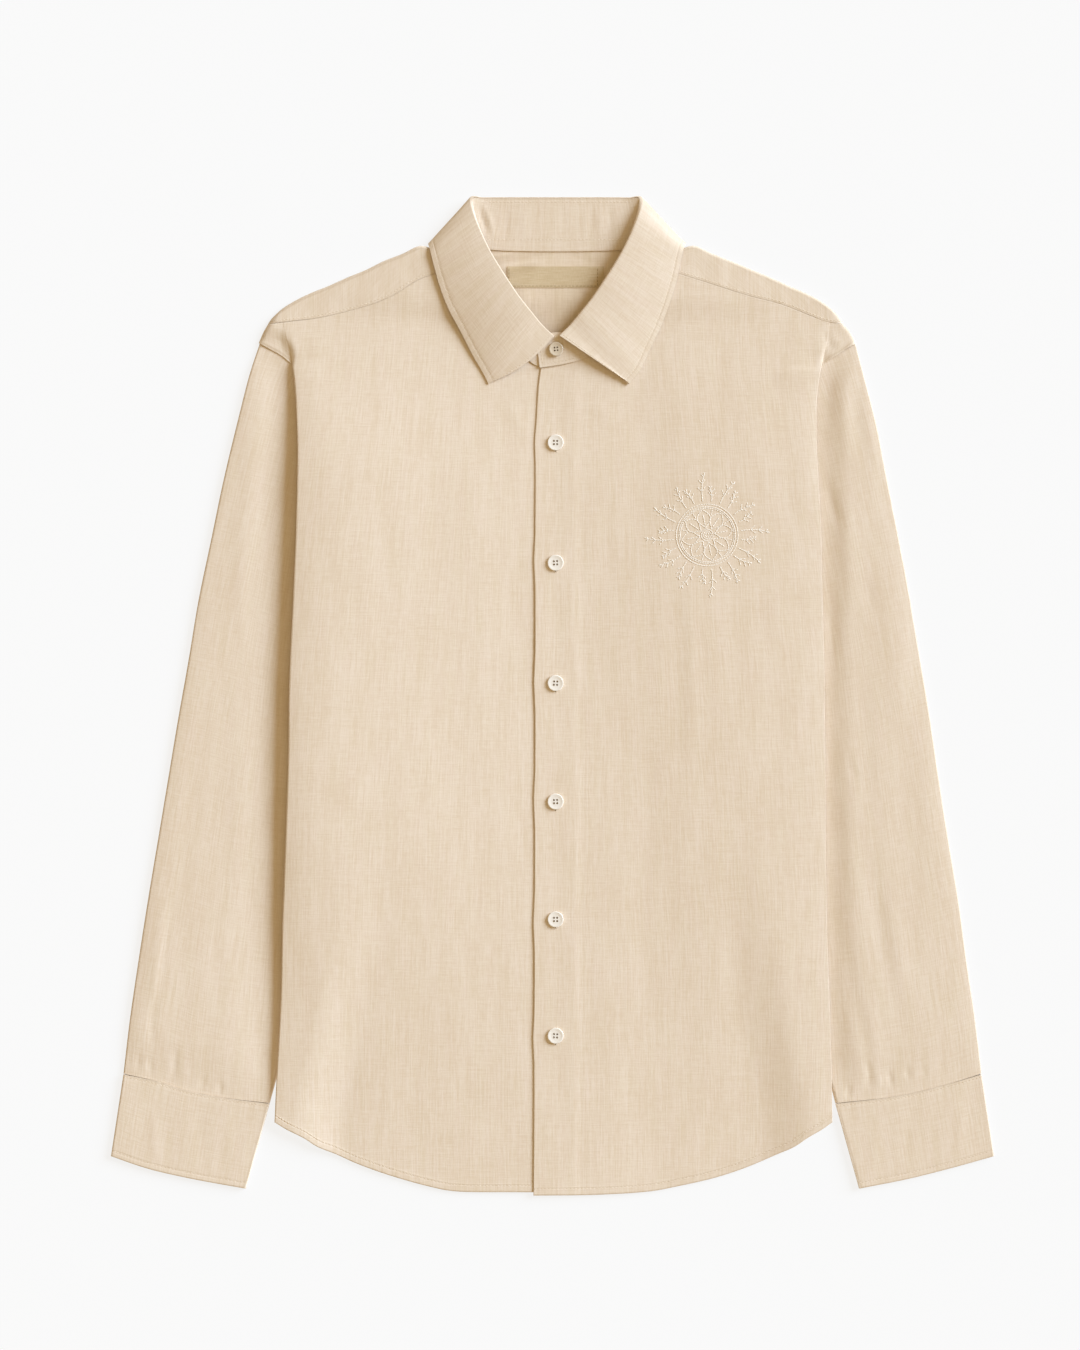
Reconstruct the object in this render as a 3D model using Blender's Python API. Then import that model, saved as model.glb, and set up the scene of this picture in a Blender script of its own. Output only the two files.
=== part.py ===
"""A long-sleeved linen shirt, laid flat on its back with the front up.

The shirt lies on the plane Z = 0 with its collar towards +Y. Left and right in the node names are
the wearer's: the wearer's right front and sleeve are on the -X side. Each cut piece of cloth is a
wall of its own, a seam's gap away from the piece that it is sewn to.

Sizes and tables are in millimetres and are scaled to metres when a mesh is made.
"""

import math

import bmesh
import bpy
from mathutils import Vector

MM = 0.001

# Cloth and how it lies
WALL = 1.2            # cloth and its turned allowances
WALL_COLLAR = 1.4     # interfaced collar plies
WALL_CUFF = 1.5       # interfaced cuff plies
SEAM = 0.3            # gap where two pieces are sewn
REST = 0.6            # gap where one layer lies on another
AIR_MOST = 3.9        # widest space between back and fronts

# Back and yoke: the underside climbs over the sleeves, and over the collar leaf behind the neck
OVER_SLEEVE = 5.0
RAMP = 45.0           # width of the climb
RAMP_MARGIN = 18.0    # how far before the sleeve's hidden edge the climb ends
BASE_FADE_Y = (238.0, 272.0)
LEAF_LIFT = 1.9
LEAF_LIFT_Y = (296.0, 319.0)
BACK_INSET = 0.6      # side edges of the back inside the fronts' side folds
BACK_HEM_INSET = 2.0
BACK_SEAM_Y = 275.0

# Fronts: height of the upper face at the neck, down the middle and at the sides
TOP_NECK = 5.0
TOP_MIDDLE = 6.2
TOP_SIDE = 10.8
TOP_START = 20.0      # how far out from the middle the fronts begin to climb
SIDE_FADE_Y = (175.0, 300.0)
NECK_FADE_Y = (100.0, 250.0)
HEM_FADE = 220.0      # how far above the hem the fronts begin to come down on the back
FOLD_REACH = 38.0     # how far in from the side fold the front rounds off
FOLD_EDGE = 1.6       # upright part of the side fold
LAP_RISE = WALL + REST

# The shirt's middle line, through the buttons, and its overlap at the front
MIDDLE_X = 2.8
LAP_UNDER_X = 18.0
LAP_FADE_X = (22.0, 46.0)

# Sleeves and cuffs lying flat, both layers
SLEEVE_THICK = 3.4
SLEEVE_CREST = 4.2    # upper layer in the middle of what shows
SLEEVE_DIP = 2.9      # upper layer where it goes under the body
DIP_REACH = 30.0
SLEEVE_ROUND = 9.0
SLEEVE_CLOSE = 0.1    # share of the length over which the sleeve closes to the cuff
WRIST_GAP = 0.6       # between sleeve and cuff
CUFF_THICK = 4.2
CUFF_ROUND = 4.0
CUFF_ROWS = (0.0, 0.06, 0.5, 0.94, 1.0)
TUBE_ROUND = 1.8      # rounding of a flat tube's edges on the floor
TUBE_TOP = (0.0, 0.006, 0.02, 0.06, 0.14, 0.3, 0.5, 0.7, 0.86, 0.95, 0.985, 0.996, 1.0)
TUBE_LOW = (0.996, 0.985, 0.9, 0.7, 0.5, 0.3, 0.1, 0.015, 0.004)

# Yoke: its fold over the shoulders, as distance in from the edge and height above the underside
FOLD_LOW = ((2.6, 0.0), (0.7, 0.8), (0.0, 2.5))
FOLD_HIGH = ((0.7, 4.2), (2.6, 5.0))
YOKE_LOW = ((-231.5, 282.5), (-224.5, 277.6), (-212.0, BACK_SEAM_Y), (221.0, BACK_SEAM_Y),
            (232.5, 277.6), (239.5, 282.5))
YOKE_INNER = (0.0, 0.24, 0.42, 0.56, 0.8)
YOKE_FRONT = (0.4, 0.7, 1.0)

# Heights of the rows that back and fronts share along the side folds
ROW_HEIGHTS = (-338.0, -320.0, -284.0, -236.0, -188.0, -140.0, -92.0, -44.0, 4.0, 50.0, 92.0,
               130.0, 166.0, 198.0, 220.0, 238.0, 255.0, 272.5)

# Buttons
BUTTON_RADIUS = 6.6
BUTTON_THICK = 2.8
BUTTON_HOLE_RADIUS = 0.9
BUTTON_HOLE_OUT = 1.85
BUTTON_Y = (201.5, 105.5, 9.5, -85.0, -179.0, -272.0)
BUTTON_SHANK = 0.4    # thread between cloth and button
BUTTON_X = 2.4
STAND_BUTTON = (2.8, 276.0)
STAND_BUTTON_RADIUS = 5.6
STAND_SHANK = 0.3

# Turned section of a button: distance out and height, as shares of its radius and thickness
BUTTON_SECTION = ((0.0, 0.0), (0.82, 0.0), (1.0, 0.35), (1.0, 0.8), (0.9, 1.0), (0.74, 0.86),
                  (0.6, 0.72), (0.0, 0.72))
BUTTON_SIDES = 16

# Neck label
LABEL_X = (-36.0, 41.0)
LABEL_ROWS_Y = (325.5, 331.0, 337.0, 342.5)
LABEL_THICK = 0.8

# Colours, linear
LINEN = (0.72, 0.60, 0.44, 1.0)
LINEN_INSIDE = (0.66, 0.54, 0.39, 1.0)
BUTTON_WHITE = (0.86, 0.84, 0.79, 1.0)
LABEL_TAN = (0.50, 0.39, 0.24, 1.0)

# Outline of the shoulders from the neck to the sleeve head: height, left side x, right side x
SHOULDER = (
    (354.5, -82, 88),
    (355.5, -93, 99.5),
    (359.0, -105, 113),
    (352.5, -120, 128),
    (346.5, -135.5, 143.5),
    (340.0, -148.5, 159),
    (333.5, -164.5, 175),
    (327.0, -179, 189),
    (321.0, -194, 203),
    (314.5, -207, 215),
    (308.0, -217, 223.5),
    (300.5, -225, 230.5),
)

# Outer fold of the sleeves from the shoulder point to the cuff seam
SLEEVE_OUTER = (
    (281.0, -234.6, 242.6),
    (257.0, -242, 248.5),
    (220.0, -251.5, 258),
    (172.0, -263, 267.5),
    (124.0, -273, 277),
    (76.0, -283, 286),
    (28.0, -291, 294),
    (-20.0, -299.5, 302),
    (-68.0, -307.5, 309),
    (-116.0, -315.5, 316.5),
    (-164.0, -323.5, 324.5),
    (-212.0, -331, 331),
    (-260.0, -338, 338),
    (-302.5, -343, 343),
)

# Inner fold of the sleeves, under the body, from the cuff seam to the underarm
SLEEVE_INNER = (
    (-327.5, -226, 227),
    (-110.0, -177, 180),
    (108.0, -122, 128),
)

# Armhole ends of the sleeves, under the body, from the shoulder point to the underarm
ARMHOLE = (
    (281.0, -234.6, 242.6),
    (275.6, -225.5, 234),
    (270.4, -216.3, 226.3),
    (269.6, -210.6, 218.6),
    (253.5, -207.8, 214.4),
    (236.0, -206.2, 212.2),
    (214.0, -192, 198),
    (188.0, -174, 180),
    (148.0, -150, 156),
    (108.0, -122, 128),
)

# Side folds of the body from the armhole seam to the hem corner
BODY_EDGE = (
    (272.5, -209, 217),
    (253.5, -206.5, 213),
    (234.5, -205, 211),
    (196.0, -203.5, 211),
    (140.0, -204.5, 214),
    (76.0, -207, 215.5),
    (12.0, -210, 217),
    (-52.0, -211, 217.5),
    (-116.0, -213, 218),
    (-180.0, -215.5, 219),
    (-244.0, -217, 221),
    (-308.0, -220.5, 223),
    (-338.0, -222, 223.5),
)

# Shoulder tip of the fronts, from the side fold along the sleeve head to the yoke seam
TIP = (
    (271.5, -216, 226),
    (276.5, -225, 233.5),
    (281.5, -233, 241),
    (290.0, -231, 238),
    (296.0, -227.8, 233),
)

# Hem from the side fold to the button line
HEM = (
    (-338.0, -222, 223.5),
    (-348.0, -212.5, 216.5),
    (-354.5, -199, 205),
    (-361.0, -187.5, 193),
    (-367.0, -173, 179.5),
    (-373.5, -159, 165),
    (-380.0, -142, 148.5),
    (-386.5, -122, 127.5),
    (-392.8, -99, 99.5),
    (-396.5, -80, 80),
)
HEM_MIDDLE_Y = (-397.5, -400.0)

# Front yoke seam from the shoulder tip to the neck
YOKE_SEAM = (
    (296.3, -223.5, 229),
    (298.5, -210, 217),
    (301.0, -188.5, 211),
    (305.0, -170, 201),
    (312.0, -144.5, 183),
    (318.5, -128.5, 158),
    (331.0, -108, 118),
    (341.5, -79, 84.5),
)

# Front neckline from the yoke seam to the middle: height, distance out from the middle line
NECKLINE = (
    (341.5, 81.8),
    (325.5, 75.2),
    (309.0, 65.6),
    (293.0, 53.6),
    (280.0, 40.0),
    (269.5, 25.6),
    (262.5, 12.8),
)

# Back neckline from the neck point to the middle
BACK_NECKLINE = (
    (359.5, 87.0),
    (357.2, 70.5),
    (355.6, 54.5),
    (354.8, 29.0),
    (354.4, 0.0),
)

# Front edge of the lapping front from the collar to the hem: height, x
FRONT_EDGE = (
    (261.0, -9.5),
    (244.0, -11.5),
    (200.0, -13.2),
    (-60.0, -14.0),
    (-330.0, -14.8),
    (-400.0, -15.2),
)

# Collar from the middle of the back to the front: the stand's upper and lower edge as distance
# out, height along the shirt and height above the floor, then the way the leaf turns over
# (90 = over the stand, 0 = round its outside, -90 = under it)
COLLAR = (
    (0.0, 395.4, 5.0, 0.0, 354.4, 4.6, -90),
    (22.0, 395.4, 5.0, 24.0, 354.6, 4.6, -90),
    (43.5, 395.4, 5.0, 48.0, 355.4, 4.6, -90),
    (58.5, 395.2, 5.4, 66.0, 357.6, 5.0, -70),
    (67.0, 394.6, 7.4, 76.5, 359.6, 6.4, -15),
    (65.5, 380.8, 10.0, 82.5, 357.6, 8.3, 40),
    (61.0, 367.2, 11.8, 83.8, 351.0, 8.4, 75),
    (55.0, 354.4, 12.8, 80.6, 340.0, 8.3, 90),
    (47.6, 341.6, 13.4, 73.8, 324.6, 8.2, 90),
    (38.8, 328.0, 13.4, 64.4, 308.0, 7.6, 90),
    (30.0, 315.2, 12.4, 52.4, 292.0, 6.6, 90),
    (20.4, 303.2, 10.8, 38.8, 279.4, 6.2, 90),
    (11.6, 292.8, 8.6, 24.6, 269.2, 6.2, 90),
)

# Outer edge of the leaf: height above the floor, then height along the shirt and distance out
# for the left and for the right side
LEAF_EDGE = (
    (0.8, 350.8, 0.0, 350.8, 0.0),
    (0.8, 351.0, 30.0, 351.0, 30.0),
    (0.8, 351.6, 62.0, 351.6, 62.0),
    (0.8, 354.5, 88.0, 354.5, 89.0),
    (3.2, 361.0, 101.0, 361.4, 102.6),
    (8.6, 355.0, 100.4, 355.0, 101.4),
    (9.0, 343.0, 97.4, 343.0, 98.8),
    (8.9, 329.0, 93.6, 330.0, 96.0),
    (8.5, 309.5, 86.4, 312.0, 90.4),
    (7.5, 290.0, 76.0, 294.0, 83.6),
    (7.0, 272.0, 66.8, 275.0, 74.6),
    (6.8, 257.5, 58.4, 258.0, 66.6),
    (6.8, 249.0, 54.2, 249.0, 59.0),
)

# Cuffs, from the outer fold to the inner fold: seam and lower edge
CUFF_SEAM = (
    (-303.0, -343, 343),
    (-309.5, -313, 321),
    (-316.0, -292.5, 297),
    (-321.0, -268, 273),
    (-328.0, -226, 227),
)
CUFF_END = (
    (-368.5, -353, 353),
    (-378.5, -323.5, 317),
    (-386.5, -289, 285),
    (-394.5, -245, 245),
)

# Ends of the collar stand, under and over: pairs of an upper and a lower point
UNDER_END = (((-3.5, 286.0, 6.9), (-9.5, 261.5, 6.1)), ((8.0, 281.5, 6.7), (10.0, 266.5, 6.1)))
OVER_END = (((8.5, 287.0, 9.2), (11.5, 264.8, 8.2)), ((0.0, 283.5, 9.1), (0.5, 261.4, 8.2)),
            ((-9.0, 280.5, 9.0), (-9.5, 261.8, 8.2)))

# Front edges of the collar leaf, left and right: upper and lower point on the stand, then the tip
LEAF_TIPS = (((-3.0, 286.3, 6.9), (-9.0, 261.5, 6.1), (-51.4, 248.8, 6.8)),
             ((8.5, 287.2, 9.2), (11.5, 264.8, 8.2), (61.6, 248.8, 6.8)))

# How the collar turns over
TURN_RADIUS = 2.1
TURN_START = (0.5, 1.5)      # above the stand's edge: on the straight parts, at the corners
TURN_ANGLES = (0, 50, 100, 145, 180)
TURN_FLAT = 80               # a row that turns by more than this many degrees is a straight part
TURN_OUTWARD = (0.77, 0.64)
LEAF_ROWS = (0.25, 0.5, 0.75, 1.0)
LEAF_SAG = 1.7
CORNER_HEIGHT = 0.93         # the stand stops short under the collar's turned corners
STAND_ROWS = (0.0, 0.35, 0.7, 1.0)
LAP_ROWS_Y = (310.0, 20.0)   # where the over end of the collar begins to rise, and over how far
LAP_UPPER = 0.6
LAP_LOWER = 1.6


def smooth(t):
    """Ease from 0 to 1."""
    t = min(max(t, 0.0), 1.0)
    return t * t * (3.0 - 2.0 * t)


def mix(a, b, t):
    """The value a share t of the way from a to b."""
    return a + (b - a) * t


def side_points(table, side):
    """Points (x, y) of a table of heights and left and right x. side is -1 for left, 1 for right."""
    column = 1 if side < 0 else 2
    return [Vector((row[column], row[0])) for row in table]


def mirror_points(table, side):
    """Points (x, y) of a table of heights and distances out from the middle line."""
    return [Vector((MIDDLE_X + side * row[1], row[0])) for row in table]


def line_x(table, side, y):
    """The x of a side table's line at height y."""
    column = 1 if side < 0 else 2
    rows = sorted(table)
    if y <= rows[0][0]:
        return rows[0][column]
    for low, high in zip(rows, rows[1:]):
        if y <= high[0]:
            return mix(low[column], high[column], (y - low[0]) / (high[0] - low[0]))
    return rows[-1][column]


def along(points, t):
    """The point a fraction t of the way along a line of points."""
    spans = [(b - a).length for a, b in zip(points, points[1:])]
    left = min(max(t, 0.0), 1.0) * sum(spans)
    for a, b, span in zip(points, points[1:], spans):
        if left <= span:
            return a.lerp(b, left / span)
        left -= span
    return points[-1].copy()


def spread(points):
    """How far along a line each of its points lies, from 0 to 1."""
    spans = [(b - a).length for a, b in zip(points, points[1:])]
    gone = [0.0]
    for span in spans:
        gone.append(gone[-1] + span)
    return [g / gone[-1] for g in gone]


def patch(bottom, top, first, last, u, v):
    """A point of the sheet between four edge lines; first and last are this row's end points."""
    across = along(bottom, u) * (1 - v) + along(top, u) * v
    up = first * (1 - u) + last * u
    corners = (bottom[0] * (1 - u) + bottom[-1] * u) * (1 - v) + (top[0] * (1 - u) + top[-1] * u) * v
    return across + up - corners


def fractions(count, finer_start=(), finer_end=()):
    """Even steps from 0 to 1 with a few extra ones near the ends."""
    steps = {round(i / count, 4) for i in range(count + 1)}
    steps.update(finer_start)
    steps.update(1 - f for f in finer_end)
    return sorted(steps)


def side_rows(side):
    """Points down the side fold where the back and the front both have a row."""
    return [Vector((line_x(BODY_EDGE, side, y), y)) for y in ROW_HEIGHTS]


SLEEVE_LINE = tuple(row for row in ARMHOLE if row[0] < BASE_FADE_Y[1]) + SLEEVE_INNER[:-1]


def side_of(x):
    """Which side of the shirt an x lies on: -1 for left, 1 for right."""
    return -1 if x < MIDDLE_X else 1


def leaf_lift(y):
    """How much higher the cloth lies where the collar leaf is under it."""
    return LEAF_LIFT * smooth((y - LEAF_LIFT_Y[0]) / (LEAF_LIFT_Y[1] - LEAF_LIFT_Y[0]))


def base(x, y):
    """Height of the back's underside: over the sleeves, and over the leaf at the neck."""
    side = side_of(x)
    clear = (line_x(SLEEVE_LINE, side, y) - x) * side
    over = 1 - smooth((clear - RAMP_MARGIN) / RAMP)
    shoulder = 1 - smooth((y - BASE_FADE_Y[0]) / (BASE_FADE_Y[1] - BASE_FADE_Y[0]))
    return OVER_SLEEVE * over * shoulder + leaf_lift(y)


def front_top(x, y):
    """Height of the fronts' upper face before their edges are shaped."""
    out = abs(x - MIDDLE_X)
    edge = abs(line_x(SLEEVE_LINE, side_of(x), y) - MIDDLE_X)
    neck = smooth((y - NECK_FADE_Y[0]) / (NECK_FADE_Y[1] - NECK_FADE_Y[0]))
    shoulder = smooth((y - SIDE_FADE_Y[0]) / (SIDE_FADE_Y[1] - SIDE_FADE_Y[0]))
    climb = smooth((out - TOP_START) / (edge - RAMP_MARGIN - TOP_START))
    middle = mix(TOP_MIDDLE, TOP_NECK, neck)
    crest = mix(TOP_SIDE, TOP_NECK, shoulder)
    layers = base(x, y) + 2 * WALL
    wide = mix(middle, crest, climb) + leaf_lift(y)
    return min(max(wide, layers + REST), layers + AIR_MOST)


def hem_top(x, y, hem_distance):
    """Upper face of the fronts where they come down on the back towards the hem."""
    closed = base(x, y) + WALL + REST + WALL
    return mix(closed, front_top(x, y), smooth(hem_distance / HEM_FADE))


def front_height(point, edge_point, hem_distance):
    """Upper face of a front, rounded off at the side fold."""
    low = base(point.x, point.y) + WALL + REST
    distance = (point - edge_point).length
    if distance == 0.0:
        return low
    low += FOLD_EDGE
    top = max(hem_top(point.x, point.y, hem_distance), low)
    reach = min(distance / FOLD_REACH, 1.0)
    return low + (top - low) * math.sqrt(max(0.0, 1 - (1 - reach) ** 2))


def lap_rise(x):
    """How much higher the upper front lies because of the front under it."""
    return LAP_RISE * (1 - smooth((x - LAP_FADE_X[0]) / (LAP_FADE_X[1] - LAP_FADE_X[0])))


def material(name, colour, roughness):
    """A plain matt or satin finish."""
    made = bpy.data.materials.new(name)
    made.use_nodes = True
    shader = made.node_tree.nodes["Principled BSDF"]
    shader.inputs["Base Color"].default_value = colour
    shader.inputs["Roughness"].default_value = roughness
    shader.inputs["Metallic"].default_value = 0.0
    return made


def add_object(name, points, faces, finish):
    """An object from points in millimetres."""
    mesh = bpy.data.meshes.new(name)
    mesh.from_pydata([Vector(p) * MM for p in points], [], faces)
    mesh.update()
    mesh.materials.append(finish)
    mesh.shade_smooth()
    made = bpy.data.objects.new(name, mesh)
    bpy.context.scene.collection.objects.link(made)
    return made


def add_wall(made, thickness, offset=-1.0):
    """Give a sheet its wall, inwards from the modelled face unless offset says otherwise."""
    solidify = made.modifiers.new("wall", "SOLIDIFY")
    solidify.thickness = thickness * MM
    solidify.offset = offset
    solidify.use_even_offset = False
    solidify.use_quality_normals = True
    solidify.use_rim = True


def sheet(name, rows, finish, thickness, offset=-1.0, ring=False, flip=False):
    """A sheet through rows of points, or a tube through rings of points."""
    count = len(rows[0])
    faces = []
    for r in range(len(rows) - 1):
        for c in range(count if ring else count - 1):
            d = (c + 1) % count
            face = (r * count + c, r * count + d, (r + 1) * count + d, (r + 1) * count + c)
            faces.append(face[::-1] if flip else face)
    made = add_object(name, [p for row in rows for p in row], faces, finish)
    add_wall(made, thickness, offset)
    return made


def make_back(finish):
    """Back panel below the yoke: flat on the floor in the middle, over the sleeves at the sides."""
    inset = Vector((BACK_INSET, 0))
    left = [p + inset for p in side_rows(-1)]
    right = [p - inset for p in side_rows(1)]
    hem = side_points(HEM, -1)[1:] + list(reversed(side_points(HEM, 1)))[:-1]
    hem = [left[0]] + [p + Vector((0, BACK_HEM_INSET)) for p in hem] + [right[0]]
    seam_y = BACK_SEAM_Y - SEAM
    top = [left[-1], Vector((-120, seam_y)), Vector((120, seam_y)), right[-1]]
    rows = []
    for v, first, last in zip(spread(left), left, right):
        row = []
        for u in fractions(18, (0.03, 0.08), (0.03, 0.08)):
            p = patch(hem, top, first, last, u, v)
            row.append((p.x, p.y, base(p.x, p.y) + WALL))
        rows.append(row)
    return sheet("back", rows, finish, WALL)


def front_edges(side):
    """The edge lines of a front: hem, top, side fold and front edge."""
    fold = side_rows(side) + side_points(TIP, side)
    seam = [p - Vector((0, SEAM)) for p in side_points(YOKE_SEAM, side)]
    neck = mirror_points(NECKLINE, side)[1:]
    if side < 0:
        edge = [Vector((LAP_UNDER_X, HEM_MIDDLE_Y[0])), Vector((LAP_UNDER_X, 262.0))]
        top = [fold[-1]] + seam + neck + [edge[-1]]
        hem = side_points(HEM, side) + [edge[0]]
    else:
        edge = [Vector((x, y)) for y, x in reversed(FRONT_EDGE)]
        top = [fold[-1]] + seam + neck + [Vector((3.0, 261.5)), edge[-1]]
        hem = side_points(HEM, side) + [Vector((38, HEM_MIDDLE_Y[1] + 0.7)), edge[0]]
    return hem, top, fold, edge


def make_front(name, side, finish):
    """A front, with the lap of the wearer's left front raised over the right one."""
    hem, top, fold, edge = front_edges(side)
    across = sorted(set(spread(top)) | {0.003, 0.035, 0.06})
    rows = []
    for v, first in zip(spread(fold), fold):
        row = []
        for u in across:
            p = patch(hem, top, first, along(edge, v), u, v)
            hem_distance = (p - along(hem, u)).length
            z = front_height(p, first, hem_distance)
            if u == 0.0:
                row.append((p.x, p.y, z))
                z += FOLD_EDGE
            if side > 0:
                z += lap_rise(p.x)
            row.append((p.x, p.y, z))
        rows.append(row)
    return sheet(name, rows, finish, WALL, flip=side > 0)


def make_yoke(finish):
    """Yoke: its back part lies underneath and wraps over both shoulders to the front seams."""
    seams = [side_points(YOKE_SEAM, side) for side in (-1, 1)]
    shoulders = [list(reversed(side_points(SHOULDER, side))) for side in (-1, 1)]
    strips = [[(along(over, t), p) for t, p in zip(spread(seam), seam)]
              for over, seam in zip(shoulders, seams)]
    neck = mirror_points(BACK_NECKLINE, -1) + list(reversed(mirror_points(BACK_NECKLINE, 1)))[1:]
    columns = strips[0] + [(p, None) for p in neck[1:-1]] + list(reversed(strips[1]))
    low_line = [Vector(p) for p in YOKE_LOW]
    total = len(columns) - 1
    points = []
    index = {}

    def place(row, x, y, z):
        index[(i, row)] = len(points)
        points.append((x, y, z))

    for i, (over, seam) in enumerate(columns):
        low = along(low_line, i / total)
        up = (over - low).normalized()
        near = over - up * FOLD_LOW[0][0]
        row = 0
        for f in YOKE_INNER:
            p = low.lerp(near, f)
            place(row, p.x, p.y, base(p.x, p.y))
            row += 1
        lift = base(over.x, over.y)
        for inward, height in FOLD_LOW:
            p = over - up * inward
            place(row, p.x, p.y, lift + (height if seam else 0.0))
            row += 1
        if seam is None:
            continue
        down = (seam - over).normalized()
        for inward, height in FOLD_HIGH:
            p = over + down * inward
            place(row, p.x, p.y, lift + height)
            row += 1
        for f in YOKE_FRONT:
            q = p.lerp(seam, f)
            place(row, q.x, q.y, front_top(q.x, q.y))
            row += 1
    faces = []
    for i in range(total):
        for j in range(row):
            keys = ((i, j), (i + 1, j), (i + 1, j + 1), (i, j + 1))
            if all(key in index for key in keys):
                faces.append(tuple(index[key] for key in reversed(keys)))
    made = add_object("yoke", points, faces, finish)
    add_wall(made, WALL)
    return made


def edge_round(inward, reach):
    """Share of the full rise at a distance in from a rounded edge."""
    return math.sqrt(max(0.0, 1 - (1 - min(inward / reach, 1.0)) ** 2))


def flat_ring(across, thick, outer_reach):
    """Fractions and heights round a flattened tube: over the top, then back along the floor."""
    ring = []
    for f in TUBE_TOP:
        near = min(f * across, (1 - f) * across)
        ring.append((f, thick / 2 * (1 + edge_round(near, outer_reach))))
    for f in TUBE_LOW:
        near = min(f * across, (1 - f) * across)
        ring.append((f, thick / 2 * (1 - edge_round(near, TUBE_ROUND))))
    return ring


def make_sleeve(name, side, finish):
    """A sleeve: a flattened tube from the cuff seam to the armhole under the body."""
    outer = list(reversed(side_points(SLEEVE_OUTER, side)))
    inner = side_points(SLEEVE_INNER, side)
    head = side_points(ARMHOLE, side)
    wrist = [p + Vector((0, WRIST_GAP)) for p in side_points(CUFF_SEAM, side)]
    wrist[0] = outer[0]
    wrist[-1] = inner[0]
    rows = []
    for v in fractions(15, (0.02,), (0.03,)):
        width = (along(inner, v) - along(outer, v)).length
        row = []
        for u, z in flat_ring(width, SLEEVE_THICK, SLEEVE_ROUND):
            p = patch(wrist, head, along(outer, v), along(inner, v), u, v)
            middle = SLEEVE_THICK / 2
            if z > middle:
                clear = (p.x - line_x(BODY_EDGE, side, p.y)) * side
                crest = mix(SLEEVE_DIP, SLEEVE_CREST, smooth(clear / DIP_REACH))
                crest = mix(SLEEVE_THICK, crest, smooth(v / SLEEVE_CLOSE))
                z = middle + (z - middle) * (crest - middle) / middle
            row.append((p.x, p.y, z))
        rows.append(row)
    return sheet(name, rows, finish, WALL, ring=True, flip=side > 0)


def make_cuff(name, side, finish):
    """A buttoned cuff lying flat."""
    seam = side_points(CUFF_SEAM, side)
    end = side_points(CUFF_END, side)
    rows = []
    for v in CUFF_ROWS:
        row = []
        for u, z in flat_ring((end[-1] - end[0]).length, CUFF_THICK, CUFF_ROUND):
            p = along(end, u).lerp(along(seam, u), v)
            row.append((p.x, p.y, z))
        rows.append(row)
    return sheet(name, rows, finish, WALL_CUFF, ring=True, flip=side > 0)


def collar_rows():
    """Upper and lower edge of the stand and the leaf's turn and edge, from left to right."""
    rows = []
    for side in (-1, 1):
        half = []
        for row, edge in zip(COLLAR, LEAF_EDGE):
            upper = Vector((MIDDLE_X + side * row[0], row[1], row[2]))
            lower = Vector((MIDDLE_X + side * row[3], row[4], row[5]))
            if side > 0 and row[1] < LAP_ROWS_Y[0]:
                rise = min((LAP_ROWS_Y[0] - row[1]) / LAP_ROWS_Y[1], 1.0)
                upper.z += LAP_UPPER * rise
                lower.z += LAP_LOWER * rise
            column = 1 if side < 0 else 3
            leaf = Vector((MIDDLE_X + side * edge[column + 1], edge[column], edge[0]))
            half.append((upper, lower, row[6], leaf, side))
        rows.append(half)
    return list(reversed(rows[0])) + rows[1][1:]


def make_stand(finish):
    """Collar stand: a band from the under end round the neck to the buttoned end."""
    pairs = [(Vector(a), Vector(b)) for a, b in reversed(UNDER_END)]
    for upper, lower, turn, _leaf, _side in collar_rows():
        height = 1.0 if abs(turn) > TURN_FLAT else CORNER_HEIGHT
        pairs.append((lower.lerp(upper, height), lower))
    pairs += [(Vector(a), Vector(b)) for a, b in OVER_END]
    rows = [[lower.lerp(upper, f) for f in STAND_ROWS] for upper, lower in pairs]
    return sheet("collar_stand", rows, finish, WALL_COLLAR, offset=0.0)


def make_leaf(finish):
    """Collar leaf: turned over the stand's upper edge, on top in front and underneath behind."""
    tips = [[Vector(p) for p in tip] for tip in LEAF_TIPS]
    rows = [(tips[0][0], tips[0][1], 90, tips[0][2], -1)]
    rows += collar_rows()
    rows += [(tips[1][0], tips[1][1], 90, tips[1][2], 1)]
    sections = []
    for upper, lower, turn, leaf, side in rows:
        rise = (upper - lower).normalized()
        outward = Vector((TURN_OUTWARD[0] * side, TURN_OUTWARD[1], 0.0))
        angle = math.radians(turn)
        over = outward * math.cos(angle) + Vector((0, 0, math.sin(angle)))
        over = (over - rise * over.dot(rise)).normalized()
        start = upper + rise * (TURN_START[0] if abs(turn) > TURN_FLAT else TURN_START[1])
        centre = start + over * TURN_RADIUS
        section = []
        for degrees in TURN_ANGLES:
            a = math.radians(degrees)
            section.append(centre + (rise * math.sin(a) - over * math.cos(a)) * TURN_RADIUS)
        last = section[-1]
        for f in LEAF_ROWS:
            p = last.lerp(leaf, f)
            p.z = mix(leaf.z, last.z, 1 - f ** LEAF_SAG)
            section.append(p)
        sections.append(section)
    return sheet("collar_leaf", sections, finish, WALL_COLLAR, offset=0.0, flip=True)


def make_label(finish):
    """Plain neck label, sewn to the inside of the yoke."""
    rows = []
    for y in LABEL_ROWS_Y:
        row = []
        for i in range(5):
            x = mix(LABEL_X[0], LABEL_X[1], i / 4)
            row.append((x, y, base(x, y) + WALL + SEAM + LABEL_THICK))
        rows.append(row)
    return sheet("label", rows, finish, LABEL_THICK)


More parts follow.
